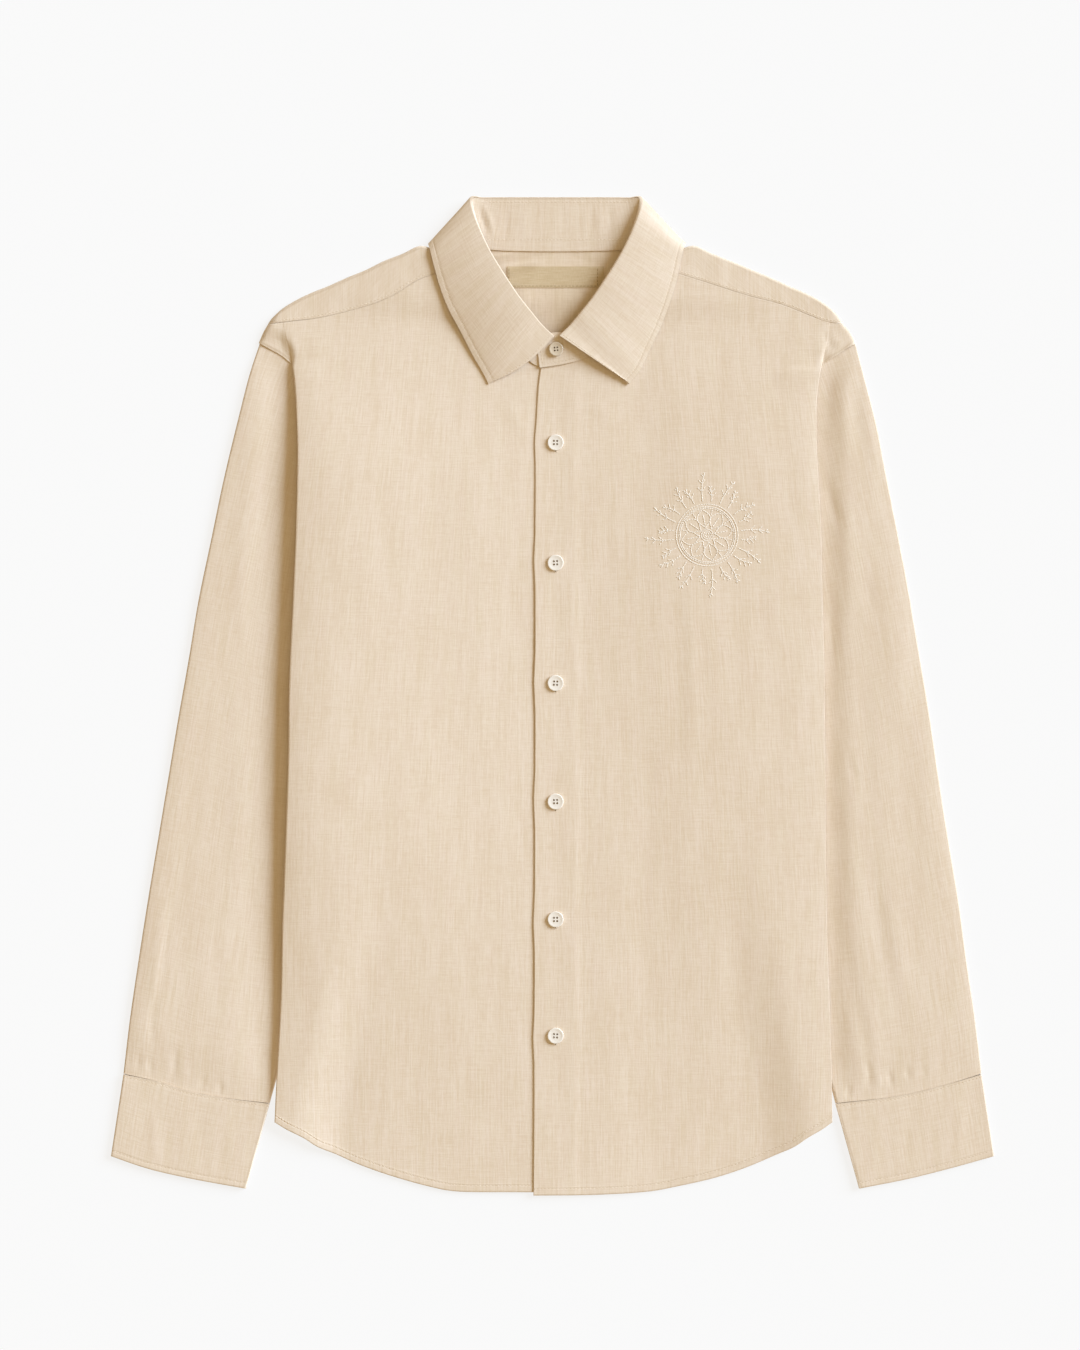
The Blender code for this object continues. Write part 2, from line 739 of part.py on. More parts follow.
def make_button(name, x, y, z, radius, finish):
    """A turned button with a raised rim and four holes, lying on the cloth at height z."""
    mesh = bmesh.new()
    rings = []
    for out, up in BUTTON_SECTION:
        if out == 0.0:
            rings.append([mesh.verts.new((x * MM, y * MM, (z + up * BUTTON_THICK) * MM))])
            continue
        ring = []
        for i in range(BUTTON_SIDES):
            a = 2 * math.pi * i / BUTTON_SIDES
            spot = Vector((x + out * radius * math.cos(a), y + out * radius * math.sin(a),
                           z + up * BUTTON_THICK))
            ring.append(mesh.verts.new(spot * MM))
        rings.append(ring)
    for low, high in zip(rings, rings[1:]):
        for i in range(BUTTON_SIDES):
            j = (i + 1) % BUTTON_SIDES
            if len(low) == 1:
                mesh.faces.new((low[0], high[j], high[i]))
            elif len(high) == 1:
                mesh.faces.new((low[i], low[j], high[0]))
            else:
                mesh.faces.new((low[i], low[j], high[j], high[i]))
    made_mesh = bpy.data.meshes.new(name)
    mesh.to_mesh(made_mesh)
    mesh.free()
    made_mesh.materials.append(finish)
    made = bpy.data.objects.new(name, made_mesh)
    bpy.context.scene.collection.objects.link(made)
    for k in range(4):
        a = math.radians(45 + 90 * k)
        spot = (x + BUTTON_HOLE_OUT * math.cos(a), y + BUTTON_HOLE_OUT * math.sin(a),
                z + BUTTON_THICK / 2)
        cutter = hole_cutter(f"{name}_hole_{k}", spot)
        cut = made.modifiers.new(f"hole_{k}", "BOOLEAN")
        cut.operation = "DIFFERENCE"
        cut.object = cutter
    return made


def hole_cutter(name, spot):
    """A small upright prism that cuts one thread hole."""
    mesh = bmesh.new()
    bmesh.ops.create_cone(mesh, cap_ends=True, segments=6, radius1=BUTTON_HOLE_RADIUS * MM,
                          radius2=BUTTON_HOLE_RADIUS * MM, depth=BUTTON_THICK * 2 * MM)
    made_mesh = bpy.data.meshes.new(name)
    mesh.to_mesh(made_mesh)
    mesh.free()
    made = bpy.data.objects.new(name, made_mesh)
    made.location = Vector(spot) * MM
    made.hide_render = True
    made.display_type = "WIRE"
    bpy.context.scene.collection.objects.link(made)
    return made


def main():
    """Make every piece of the shirt."""
    for old in list(bpy.data.objects):
        bpy.data.objects.remove(old, do_unlink=True)
    linen = material("linen", LINEN, 0.9)
    inside = material("linen_inside", LINEN_INSIDE, 0.9)
    white = material("button_white", BUTTON_WHITE, 0.35)
    tan = material("label_tan", LABEL_TAN, 0.8)
    make_back(linen)
    make_yoke(inside)
    make_front("front_right", -1, linen)
    make_front("front_left", 1, linen)
    make_sleeve("sleeve_right", -1, linen)
    make_sleeve("sleeve_left", 1, linen)
    make_cuff("cuff_right", -1, linen)
    make_cuff("cuff_left", 1, linen)
    make_stand(linen)
    make_leaf(linen)
    make_label(tan)
    for i, y in enumerate(BUTTON_Y):
        z = hem_top(BUTTON_X, y, y - HEM_MIDDLE_Y[1]) + LAP_RISE + BUTTON_SHANK
        make_button(f"button_{i + 1}", BUTTON_X, y, z, BUTTON_RADIUS, white)
    z = OVER_END[1][0][2] + WALL_COLLAR / 2 + STAND_SHANK
    make_button("button_stand", STAND_BUTTON[0], STAND_BUTTON[1], z, STAND_BUTTON_RADIUS, white)


main()
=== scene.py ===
# %% [markdown]
# # A linen shirt, laid flat
# A long-sleeved shirt lies on its back on a pale table, with its sleeves under its sides. The packed
# model gives the frame: each cut piece, button and label at its real place. This script gives them
# their cloth, folds and sewing. Loading the frame comes first.

# %% Load the frame
import math

import bmesh
import bpy
import numpy as np
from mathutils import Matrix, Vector
from mathutils.bvhtree import BVHTree


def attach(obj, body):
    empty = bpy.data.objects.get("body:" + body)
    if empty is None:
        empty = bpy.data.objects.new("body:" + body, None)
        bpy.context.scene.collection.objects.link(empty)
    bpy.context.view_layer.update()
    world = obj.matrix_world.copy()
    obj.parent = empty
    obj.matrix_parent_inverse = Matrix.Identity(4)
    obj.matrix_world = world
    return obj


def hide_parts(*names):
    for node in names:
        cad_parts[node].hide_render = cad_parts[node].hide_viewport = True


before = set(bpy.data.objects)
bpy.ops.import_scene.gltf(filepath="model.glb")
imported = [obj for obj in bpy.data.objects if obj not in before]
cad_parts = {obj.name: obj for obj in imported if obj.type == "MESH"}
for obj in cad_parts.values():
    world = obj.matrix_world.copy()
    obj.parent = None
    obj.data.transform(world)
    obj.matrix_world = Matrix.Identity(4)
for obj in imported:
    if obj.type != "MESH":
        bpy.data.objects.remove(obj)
bpy.ops.object.select_all(action="DESELECT")
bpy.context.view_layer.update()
print("nodes in the frame:", len(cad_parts))

# %% [markdown]
# ## Camera
# The photograph looks straight down on the shirt. Its 1350 pixels of height are 1.08 m of table, so
# a long lens 3 m up shows the shirt with almost no perspective.

# %% Camera
MM = 0.001
PIXEL = 0.8                       # mm of table for one pixel of the photograph
PICTURE = (1080, 1350)
LENS = 100.0
SENSOR = 36.0
LOOK_AT = (-10.0, 16.0)           # mm, the point under the middle of the picture

camera = bpy.data.objects.new("camera", bpy.data.cameras.new("camera"))
camera.data.lens = LENS
camera.data.sensor_fit = "VERTICAL"
camera.data.sensor_height = SENSOR
camera_height = PICTURE[1] * PIXEL * MM * LENS / SENSOR
camera.location = (LOOK_AT[0] * MM, LOOK_AT[1] * MM, camera_height)
camera.data.clip_end = 80.0       # m, past the far end of the table
bpy.context.scene.collection.objects.link(camera)
bpy.context.scene.camera = camera
print("camera height in m:", round(camera_height, 3))

# %% [markdown]
# ## Colours and nodes
# Colours are written as the sRGB codes that a picture shows, and Blender computes with linear
# values, so one function turns the first into the second. Another adds a shader node with its
# settings and its links, which keeps each material short: a setting that is the output of another
# node becomes a link.

# %% Colour and node helpers
def linear(code):
    """Linear colour of an sRGB hex code such as E4D2BB."""
    parts = [int(code[i:i + 2], 16) / 255 for i in (0, 2, 4)]
    return (*[c / 12.92 if c <= 0.04045 else ((c + 0.055) / 1.055) ** 2.4 for c in parts], 1.0)


def add_node(tree, kind, settings):
    """Add a node. settings holds its properties, and its inputs by name or number: a value or a socket."""
    node = tree.nodes.new(kind)
    for key, value in settings.items():
        if isinstance(value, bpy.types.NodeSocket):
            tree.links.new(value, node.inputs[key])
        elif isinstance(key, int) or key in node.inputs:
            node.inputs[key].default_value = value
        else:
            setattr(node, key, value)
    return node


def new_material(name, settings):
    """A material and its shader, with the shader's uniform values set on its own sockets."""
    made = bpy.data.materials.new(name)
    made.use_nodes = True
    shader = made.node_tree.nodes["Principled BSDF"]
    for key, value in settings.items():
        shader.inputs[key].default_value = value
    return made, made.node_tree, shader


print("sRGB 808080 is linear", round(linear("808080")[0], 3))

# %% [markdown]
# ## Table and light
# The table is a wide pale sheet that glows a little, which keeps the shirt's shadows on it as faint
# as in a product picture. A warm, even sky fills the folds. One soft, cooler lamp stands low at the
# upper right: it draws every fold, and leaves the sleeve on the far side of the body in shade.

# %% Table, sky and lamp
TABLE_REACH = 30.0                # m
WALL_HEIGHT = 3.0                 # m
TABLE_GLOW = 0.85                 # share of the table's light that is its own
TABLE_LIGHT = 0.955               # linear value of the photograph's ground
SKY = (0.50, 0.385, 0.215)        # light of the sky on a level white sheet
LAMP = (0.484, 0.594, 0.756)      # light of the lamp on a level white sheet
LAMP_ELEVATION = 24.0             # degrees
LAMP_BEARING = 26.0               # degrees from +X towards +Y
LAMP_SPREAD = 34.0                # degrees across


def make_stage():
    """The table with low walls round it, far outside the picture."""
    bpy.ops.mesh.primitive_cube_add(size=1, location=(0, 0, WALL_HEIGHT / 2))
    table = bpy.context.active_object
    table.name = "table"
    table.scale = (TABLE_REACH, TABLE_REACH, WALL_HEIGHT)
    bpy.ops.object.transform_apply(location=True, rotation=True, scale=True)
    top = [p for p in table.data.polygons if p.center.z > WALL_HEIGHT * 0.9][0].index
    shape = bmesh.new()
    shape.from_mesh(table.data)
    shape.faces.ensure_lookup_table()
    bmesh.ops.delete(shape, geom=[shape.faces[top]], context="FACES_ONLY")
    bmesh.ops.reverse_faces(shape, faces=shape.faces[:])
    shape.to_mesh(table.data)
    shape.free()
    made, _tree, shader = new_material("painted_table", {
        "Base Color": (*[TABLE_LIGHT * (1 - TABLE_GLOW)] * 3, 1.0),
        "Roughness": 1.0,
        "Specular IOR Level": 0.0,
        "Emission Color": (1.0, 1.0, 1.0, 1.0),
        "Emission Strength": TABLE_LIGHT * TABLE_GLOW,
    })
    table.data.materials.append(made)


def make_light():
    """A warm sky and a low, soft, cooler lamp."""
    scene = bpy.context.scene
    scene.world = scene.world or bpy.data.worlds.new("sky")
    scene.world.use_nodes = True
    sky = scene.world.node_tree.nodes["Background"]
    sky.inputs["Color"].default_value = (*SKY, 1.0)
    sky.inputs["Strength"].default_value = 1.0
    elevation = math.radians(LAMP_ELEVATION)
    bearing = math.radians(LAMP_BEARING)
    brightest = max(LAMP)
    lamp = bpy.data.lights.new("lamp", "SUN")
    lamp.color = [part / brightest for part in LAMP]
    lamp.energy = math.pi * brightest / math.sin(elevation)
    lamp.angle = math.radians(LAMP_SPREAD)
    holder = bpy.data.objects.new("lamp", lamp)
    towards = Vector((math.cos(elevation) * math.cos(bearing), math.cos(elevation) * math.sin(bearing),
                      math.sin(elevation)))
    holder.rotation_euler = towards.to_track_quat("Z", "Y").to_euler()
    scene.collection.objects.link(holder)
    scene.view_settings.view_transform = "Standard"
    scene.view_settings.look = "None"


make_stage()
make_light()
print("table and light made")

# %% [markdown]
# ## Linen
# Linen is woven from flax. Its threads are uneven: thick stretches called slubs show as short
# streaks along the cloth and across it, and the dye takes a little differently in each. Real threads
# here are about 0.5 mm apart, too fine for the picture, so the fine streaks are drawn 0.9 mm wide.
# The pattern reads a UV map in metres that lies along each piece's own grain. Where the cloth bends
# outwards over a fold, shade is painted into its colour, which tones down the light rim that the low
# lamp gives each rolled edge. Blender calls that bend pointiness.

# %% Linen
LINEN_PINK = "E9D4C3"             # the threads' two hues
LINEN_STRAW = "E3D3B6"
HUE_SHARE = 0.35                  # how much of these shows
# colour of the painted shade on outward folds
LINEN_FOLD_SHADE = "B0956F"
FOLD_SHADE_BEND = (0.504, 0.522)          # bend at which the painted shade on a fold starts, and where it is full
FOLD_SHADE_SHARE = 0.26              # how far the painted shade darkens the colour
CUT_EDGE = (0.53, 0.55)           # bends sharper than this are cut edges, which get no painted shade
WEAVE_DEPTH = 0.2                 # mm


def streaks(tree, place, across, along, detail=3.0):
    """Uneven streaks, across and along in mm: how wide and how long one of them is."""
    size = (1 / (across * MM), 1 / (along * MM), 1.0)
    scaled = add_node(tree, "ShaderNodeMapping", {"Scale": size, "Vector": place}).outputs[0]
    return add_node(tree, "ShaderNodeTexNoise", {
        "noise_dimensions": "2D", "Scale": 1.0, "Detail": detail, "Roughness": 0.6,
        "Vector": scaled}).outputs["Fac"]


def weighted(tree, parts, middle=0.0):
    """The sum of streak patterns, each given its weight, with the mean at middle."""
    total = middle - sum(weight for _pattern, weight in parts) / 2
    for pattern, weight in parts:
        total = add_node(tree, "ShaderNodeMath", {
            "operation": "MULTIPLY_ADD", 0: pattern, 1: weight, 2: total}).outputs[0]
    return total


def linen(name, light, dark):
    """Plain-woven flax cloth, washed: dull, slubby, with a faint bloom at grazing angles, and shade painted
    on its outward folds.
    """
    made, tree, shader = new_material(name, {
        "Roughness": 0.9, "Metallic": 0.0, "IOR": 1.5, "Specular IOR Level": 0.25,
        "Sheen Weight": 0.12, "Sheen Roughness": 0.5})
    place = add_node(tree, "ShaderNodeUVMap", {"uv_map": "cloth"}).outputs[0]
    slub_long = streaks(tree, place, 1.5, 48.0)
    slub_cross = streaks(tree, place, 30.0, 1.3)
    fine_long = streaks(tree, place, 0.9, 9.0, 2.0)
    fine_cross = streaks(tree, place, 8.0, 0.9, 2.0)
    cloud = streaks(tree, place, 16.0, 60.0)
    tone = weighted(tree, ((slub_long, 1.7), (slub_cross, 0.9), (fine_long, 1.2), (fine_cross, 0.9),
                           (cloud, 0.9)), 0.5)
    hue = streaks(tree, place, 9.0, 42.0)
    woven, tint = [add_node(tree, "ShaderNodeMix", {
        "data_type": "RGBA", 0: share, 6: linear(low), 7: linear(high)}).outputs[2]
        for share, low, high in ((tone, dark, light), (hue, LINEN_PINK, LINEN_STRAW))]
    dyed = add_node(tree, "ShaderNodeMix", {
        "data_type": "RGBA", 0: HUE_SHARE, 6: woven, 7: tint}).outputs[2]
    # painted shade: the colour is darkened on outward folds, found by their pointiness, but not on sharp
    # cut edges
    bend = add_node(tree, "ShaderNodeNewGeometry", {}).outputs["Pointiness"]
    fold_shade, blunt = [add_node(tree, "ShaderNodeMapRange", {
        0: bend, 1: limits[0], 2: limits[1], 3: low, 4: high}).outputs[0]
        for limits, low, high in ((FOLD_SHADE_BEND, 0.0, FOLD_SHADE_SHARE), (CUT_EDGE, 1.0, 0.0))]
    darker = add_node(tree, "ShaderNodeMath", {"operation": "MULTIPLY", 0: fold_shade, 1: blunt}).outputs[0]
    fold_shaded = add_node(tree, "ShaderNodeMix", {
        "data_type": "RGBA", 0: darker, 6: dyed, 7: linear(LINEN_FOLD_SHADE)}).outputs[2]
    tree.links.new(fold_shaded, shader.inputs["Base Color"])
    relief = weighted(tree, ((slub_long, 1.0), (slub_cross, 0.8), (fine_long, 0.8), (fine_cross, 0.8)))
    bump = add_node(tree, "ShaderNodeBump", {
        "Strength": 0.28, "Distance": WEAVE_DEPTH * MM, "Height": relief})
    tree.links.new(bump.outputs[0], shader.inputs["Normal"])
    return made


LINEN = linen("washed_linen", "EDDDC9", "DDC8AC")
# painted shade: a darker copy of the linen for the yoke behind the neck, where the collar shades it
LINEN_PAINTED_SHADE = linen("washed_linen_painted_shade", "E8D5BC", "D8C1A0")
print("linen finishes made, with nodes:", len(LINEN.node_tree.nodes))

# %% [markdown]
# ## Ribbon, thread and buttons
# The label is a dull ribbon with ribs across it. The shirt is sewn with cotton thread a little
# lighter than the cloth, whose twist gives it light and dark turns. Shell buttons on such a shirt
# are mostly cast resin, glossy and cloudy. Each is two colours mixed by a pattern of its real size.

# %% Ribbon, thread and button finishes
RIBBON_LIGHT, RIBBON_DARK = "DAC6A5", "C6AE87"
TWIST = 0.6                       # mm, a light and a dark turn of the thread
CLOUD = 5.0                       # mm, a cloud in the shell


def two_tone(tree, shader, pattern, dark, light):
    """Colour a finish between dark and light, as a pattern says."""
    colour = add_node(tree, "ShaderNodeMix", {
        "data_type": "RGBA", 0: pattern, 6: linear(dark), 7: linear(light)})
    tree.links.new(colour.outputs[2], shader.inputs["Base Color"])


def ribbon(name):
    """Woven polyester ribbon: fine ribs across it, and dull, so that it shows no glare."""
    made, tree, shader = new_material(name, {
        "Roughness": 0.8, "Metallic": 0.0, "IOR": 1.5, "Specular IOR Level": 0.2})
    place = add_node(tree, "ShaderNodeUVMap", {"uv_map": "cloth"}).outputs[0]
    rib = streaks(tree, place, 14.0, 0.8, 1.0)
    fleck = streaks(tree, place, 0.9, 3.0, 1.0)
    tone = weighted(tree, ((rib, 0.9), (fleck, 0.5)), 0.5)
    two_tone(tree, shader, tone, RIBBON_DARK, RIBBON_LIGHT)
    bump = add_node(tree, "ShaderNodeBump", {
        "Strength": 0.4, "Distance": WEAVE_DEPTH * MM, "Height": tone})
    tree.links.new(bump.outputs[0], shader.inputs["Normal"])
    return made


def thread(name, light, dark):
    """Twisted cotton thread: matt, with light and dark turns a third of a millimetre apart."""
    made, tree, shader = new_material(name, {
        "Roughness": 0.75, "Metallic": 0.0, "IOR": 1.5, "Sheen Weight": 0.25})
    place = add_node(tree, "ShaderNodeTexCoord", {}).outputs["Object"]
    twist = add_node(tree, "ShaderNodeTexNoise", {
        "Scale": 1 / (TWIST * MM), "Detail": 2.0, "Vector": place})
    two_tone(tree, shader, twist.outputs["Fac"], dark, light)
    return made


def shell_resin(name, light, dark):
    """Cast polyester resin made to look like shell: glossy, with clouds of pearl white."""
    made, tree, shader = new_material(name, {
        "Roughness": 0.28, "Metallic": 0.0, "IOR": 1.53, "Coat Weight": 0.25, "Coat Roughness": 0.2})
    place = add_node(tree, "ShaderNodeTexCoord", {}).outputs["Object"]
    cloud = add_node(tree, "ShaderNodeTexNoise", {
        "Scale": 1 / (CLOUD * MM), "Detail": 3.0, "Distortion": 0.6, "Vector": place})
    two_tone(tree, shader, cloud.outputs["Fac"], dark, light)
    return made


RIBBON = ribbon("woven_ribbon")
SEWING_THREAD = thread("sewing_thread", "ECDCC6", "DCC8AA")
WHITE_THREAD = thread("white_embroidery_cotton", "FBF5EB", "E6D9C6")
BUTTON_RESIN = shell_resin("shell_resin", "F8F1E6", "ECE2D4")
# painted shade: a darker copy of the resin for the stand button, which lies in the shade of the collar leaf
RESIN_PAINTED_SHADE = shell_resin("shell_resin_painted_shade", "DFD0BA", "CBB99E")
print("finishes made:", len(bpy.data.materials))

# %% [markdown]
# ## The shirt's lines
# These tables are the lines that the frame was built on: shoulders, sleeve folds, hem, seams and
# collar, as heights along the shirt with an x for the left and for the right side, in mm. The frame
# joins them with straight pieces. Here a smooth curve goes through them, so each edge runs as cloth
# does. Left and right of the picture are -1 and 1: the wearer's right is on the left.

# %% Measures
SIDES = {-1: "right", 1: "left"}  # side of the picture, and the wearer's word for it
MIDDLE_X = 2.8                    # the button line
BUTTON_X = MIDDLE_X - 0.4
LAP_UNDER_X = 18.0                # edge of the front that lies under
LAP_FADE = (22.0, 80.0)           # where the upper front comes down beside the lap
BACK_SEAM_Y = 275.0
WALL = 1.2                        # cloth of the frame
CLOTH = 0.8                       # cloth here
STIFF_CLOTH = 1.0                 # interfaced cloth of collar and cuffs
REST = 0.6                        # least room between back and fronts
LAP_RISE = CLOTH + 0.3            # how much higher the upper front lies on the lap
BUTTON_Y = (201.5, 105.5, 9.5, -85.0, -179.0, -272.0)
print("front buttons every", round((BUTTON_Y[0] - BUTTON_Y[-1]) / (len(BUTTON_Y) - 1), 1), "mm")

# %% Lines of the shoulders and sleeves
# Outline of the shoulders from the neck to the sleeve head: height, left side x, right side x
SHOULDER = (
    (354.5, -82, 88),
    (355.5, -93, 99.5),
    (359.0, -105, 113),
    (352.5, -120, 128),
    (346.5, -135.5, 143.5),
    (340.0, -148.5, 159),
    (333.5, -164.5, 175),
    (327.0, -179, 189),
    (321.0, -194, 203),
    (314.5, -207, 215),
    (308.0, -217, 223.5),
    (300.5, -225, 230.5),
)

# Outer fold of the sleeves from the shoulder point to the cuff seam
SLEEVE_OUTER = (
    (281.8, -233.8, 241.8),
    (257.0, -242, 248.5),
    (220.0, -251.5, 258),
    (172.0, -263, 267.5),
    (124.0, -273, 277),
    (76.0, -283, 286),
    (28.0, -291, 294),
    (-20.0, -299.5, 302),
    (-68.0, -307.5, 309),
    (-116.0, -315.5, 316.5),
    (-164.0, -323.5, 324.5),
    (-212.0, -331, 331),
    (-260.0, -338, 338),
    (-302.5, -343, 343),
)

# Inner fold of the sleeves, under the body, from the cuff seam to the underarm
SLEEVE_INNER = (
    (-326.2, -226, 226),
    (-300.0, -219, 219.5),
    (-110.0, -177, 180),
    (108.0, -122, 128),
)

# Armhole ends of the sleeves, under the body, from the shoulder point to the underarm
ARMHOLE = (
    (281.8, -233.8, 241.8),
    (277.4, -224.2, 232.8),
    (272.2, -215.2, 225.2),
    (267.5, -206.5, 214.6),
    (256.5, -198.5, 205),
    (236.0, -195.5, 201),
    (214.0, -186, 192),
    (188.0, -172, 178),
    (148.0, -150, 156),
    (108.0, -122, 128),
)

print("sleeve between its ends, mm:", SLEEVE_OUTER[0][0] - SLEEVE_OUTER[-1][0])

# %% Lines of the body
# Side folds of the body from the armhole seam to the hem corner
BODY_EDGE = (
    (272.5, -209, 217),
    (253.5, -206.5, 213),
    (234.5, -205, 211),
    (196.0, -203.5, 211),
    (140.0, -204.5, 214),
    (76.0, -207, 215.5),
    (12.0, -210, 217),
    (-52.0, -211, 217.5),
    (-116.0, -213, 218),
    (-180.0, -215.5, 219),
    (-244.0, -217, 221),
    (-308.0, -220.5, 223),
    (-341.0, -222, 223.6),
)

# Crease that carries the side fold on up to the yoke seam
TIP_CREASE = (
    (264.0, -207.9, 215.2),
    (272.5, -209, 217),
    (284.5, -212.6, 219.6),
    (297.7, -215.4, 221.4),
)

# Shoulder tip of the fronts beyond that crease: along the sleeve head, then up to the yoke seam
TIP = (
    (270.9, -216.2, 226.2),
    (276.1, -225.2, 233.8),
    (281.2, -235.0, 243.0),
    (290.0, -231.2, 238.2),
    (296.0, -227.8, 233),
)

# Hem from the side fold to the button line
HEM = (
    (-341.0, -222, 223.6),
    (-346.8, -212.5, 215.5),
    (-353.5, -199, 204),
    (-361.0, -187.5, 193),
    (-367.0, -173, 179.5),
    (-373.5, -159, 165),
    (-380.0, -142, 148.5),
    (-386.5, -122, 127.5),
    (-392.8, -99, 99.5),
    (-396.5, -80, 80),
)
HEM_MIDDLE_Y = (-397.5, -400.0)

# Front yoke seam from the shoulder tip to the neck
YOKE_SEAM = (
    (296.4, -227.6, 232.6),
    (298.5, -210, 217),
    (301.0, -188.5, 211),
    (305.0, -170, 201),
    (312.0, -144.5, 183),
    (318.5, -128.5, 158),
    (331.0, -108, 118),
    (341.5, -79, 84.5),
)

# Front neckline from the yoke seam to the middle: height, distance out from the middle line
NECKLINE = (
    (341.5, 81.8),
    (325.5, 75.2),
    (309.0, 65.6),
    (293.0, 53.6),
    (280.0, 40.0),
    (269.5, 25.6),
    (262.5, 12.8),
)

# Back neckline from the neck point to the middle
BACK_NECKLINE = (
    (359.5, 87.0),
    (357.2, 70.5),
    (355.6, 54.5),
    (354.8, 29.0),
    (354.4, 0.0),
)

# Front edge of the lapping front from the collar to the hem: height, x
FRONT_EDGE = (
    (261.0, -9.5),
    (244.0, -11.5),
    (200.0, -13.2),
    (-60.0, -14.0),
    (-330.0, -14.8),
    (-400.0, -15.2),
)

print("body from yoke seam to hem, mm:", YOKE_SEAM[0][0] - HEM_MIDDLE_Y[1])

# %% Lines of the collar and cuffs
# Collar from the middle of the back to the front: the stand's upper and lower edge as distance
# out, height along the shirt and height above the floor, then the way the leaf turns over
# (90 = over the stand, 0 = round its outside, -90 = under it)
COLLAR = (
    (0.0, 395.4, 5.0, 0.0, 354.4, 3.7, -90),
    (22.0, 395.4, 5.0, 24.0, 354.6, 3.7, -90),
    (43.5, 395.4, 5.0, 48.0, 355.4, 3.8, -90),
    (58.5, 395.2, 5.4, 66.0, 357.6, 4.4, -70),
    (67.0, 394.6, 7.4, 76.5, 359.6, 6.2, -15),
    (65.5, 380.8, 10.0, 82.5, 357.6, 7.6, 40),
    (61.0, 367.2, 10.9, 83.8, 351.0, 7.7, 75),
    (55.0, 354.4, 11.4, 80.6, 340.0, 7.6, 90),
    (47.6, 341.6, 11.7, 73.8, 324.6, 7.4, 90),
    (38.8, 328.0, 11.7, 64.4, 308.0, 6.7, 90),
    (30.0, 315.2, 11.1, 52.4, 292.0, 6.0, 90),
    (20.4, 303.2, 10.4, 38.8, 279.4, 5.8, 90),
    (11.6, 292.8, 8.6, 24.6, 269.2, 5.9, 90),
)

# Outer edge of the leaf: height above the floor, then height along the shirt and distance out
# for the left and for the right side
LEAF_EDGE = (
    (0.8, 350.8, 0.0, 350.8, 0.0),
    (0.8, 351.0, 30.0, 351.0, 30.0),
    (0.8, 351.6, 62.0, 351.6, 62.0),
    (0.8, 354.5, 88.0, 354.5, 89.0),
    (3.2, 361.0, 101.0, 361.4, 102.6),
    (8.6, 355.0, 100.4, 355.0, 101.4),
    (9.0, 343.0, 97.4, 343.0, 98.8),
    (8.9, 329.0, 93.6, 330.0, 96.0),
    (8.5, 309.5, 86.4, 312.0, 90.4),
    (7.5, 290.0, 76.0, 294.0, 83.6),
    (7.0, 272.0, 66.8, 275.0, 74.6),
    (6.8, 257.5, 58.4, 258.0, 66.6),
    (6.8, 249.0, 54.2, 249.0, 59.0),
)

# Cuffs, from the outer fold to the inner fold: seam and lower edge
CUFF_SEAM = (
    (-303.0, -343, 343),
    (-309.5, -313, 321),
    (-316.0, -292.5, 297),
    (-321.0, -268, 273),
    (-326.6, -226, 226),
)
CUFF_END = (
    (-368.5, -353, 353),
    (-378.5, -323.5, 317),
    (-386.5, -289, 285),
    (-394.5, -245, 245),
)

# Front ends of the stand past those rows, as upper and lower points: the under end, and the end
# that laps over it. Then the leaf's two front edges: upper, lower and tip
UNDER_END = (((-3.5, 286.0, 6.9), (-9.5, 262.0, 5.6)), ((8.0, 281.5, 6.5), (10.0, 267.5, 5.6)))
OVER_END = (((8.5, 288.2, 8.6), (10.5, 264.5, 6.9)), ((-0.6, 287.4, 8.3), (0.5, 262.7, 6.8)),
            ((-12.2, 278.5, 7.6), (-10.2, 261.3, 6.8)))
LEAF_TIPS = (((0.4, 284.4, 7.6), (-9.0, 262.0, 5.6), (-51.4, 248.8, 6.8)),
             ((6.2, 285.0, 10.4), (10.5, 264.3, 7.3), (61.6, 248.8, 7.2)))
print("rows of the collar:", len(COLLAR), "and of its leaf:", len(LEAF_EDGE))


# %% [markdown]
# ## Curves and sheets
# A curved line is held as many short steps and read by the share of its length. A sheet of cloth is
# stretched between four such lines, which is called a Coons patch: each point is the mean of the
# two ways across, less what the corners give twice.

# %% Smooth curves
LINE_STEPS = 12                   # short steps between two given points


def ease(t):
    """Ease from 0 to 1."""
    t = np.clip(t, 0.0, 1.0)
    return t * t * (3.0 - 2.0 * t)


def fade(value, start, end):
    """Ease from 0 at start to 1 at end."""
    return ease((value - start) / (end - start))


def mix(a, b, t):
    return a + (b - a) * t


def smooth_points(points):
    """Close points on a curve that passes through all the given ones, without loops or overshoot."""
    p = np.array(points, float)
    p = np.vstack([2 * p[0] - p[1], p, 2 * p[-1] - p[-2]])
    made = []
    s = np.linspace(0, 1, LINE_STEPS, endpoint=False)[:, None]
    for a, b, c, d in zip(p, p[1:], p[2:], p[3:]):
        ab, bc, cd = (max(np.linalg.norm(v), 1e-6) ** 0.5 for v in (b - a, c - b, d - c))
        start = bc * ((b - a) / ab - (c - a) / (ab + bc) + (c - b) / bc)
        end = bc * ((c - b) / bc - (d - b) / (bc + cd) + (d - c) / cd)
        made.append((2 * s**3 - 3 * s**2 + 1) * b + (s**3 - 2 * s**2 + s) * start
                    + (3 * s**2 - 2 * s**3) * c + (s**3 - s**2) * end)
    return np.vstack(made + [p[-2:-1]])


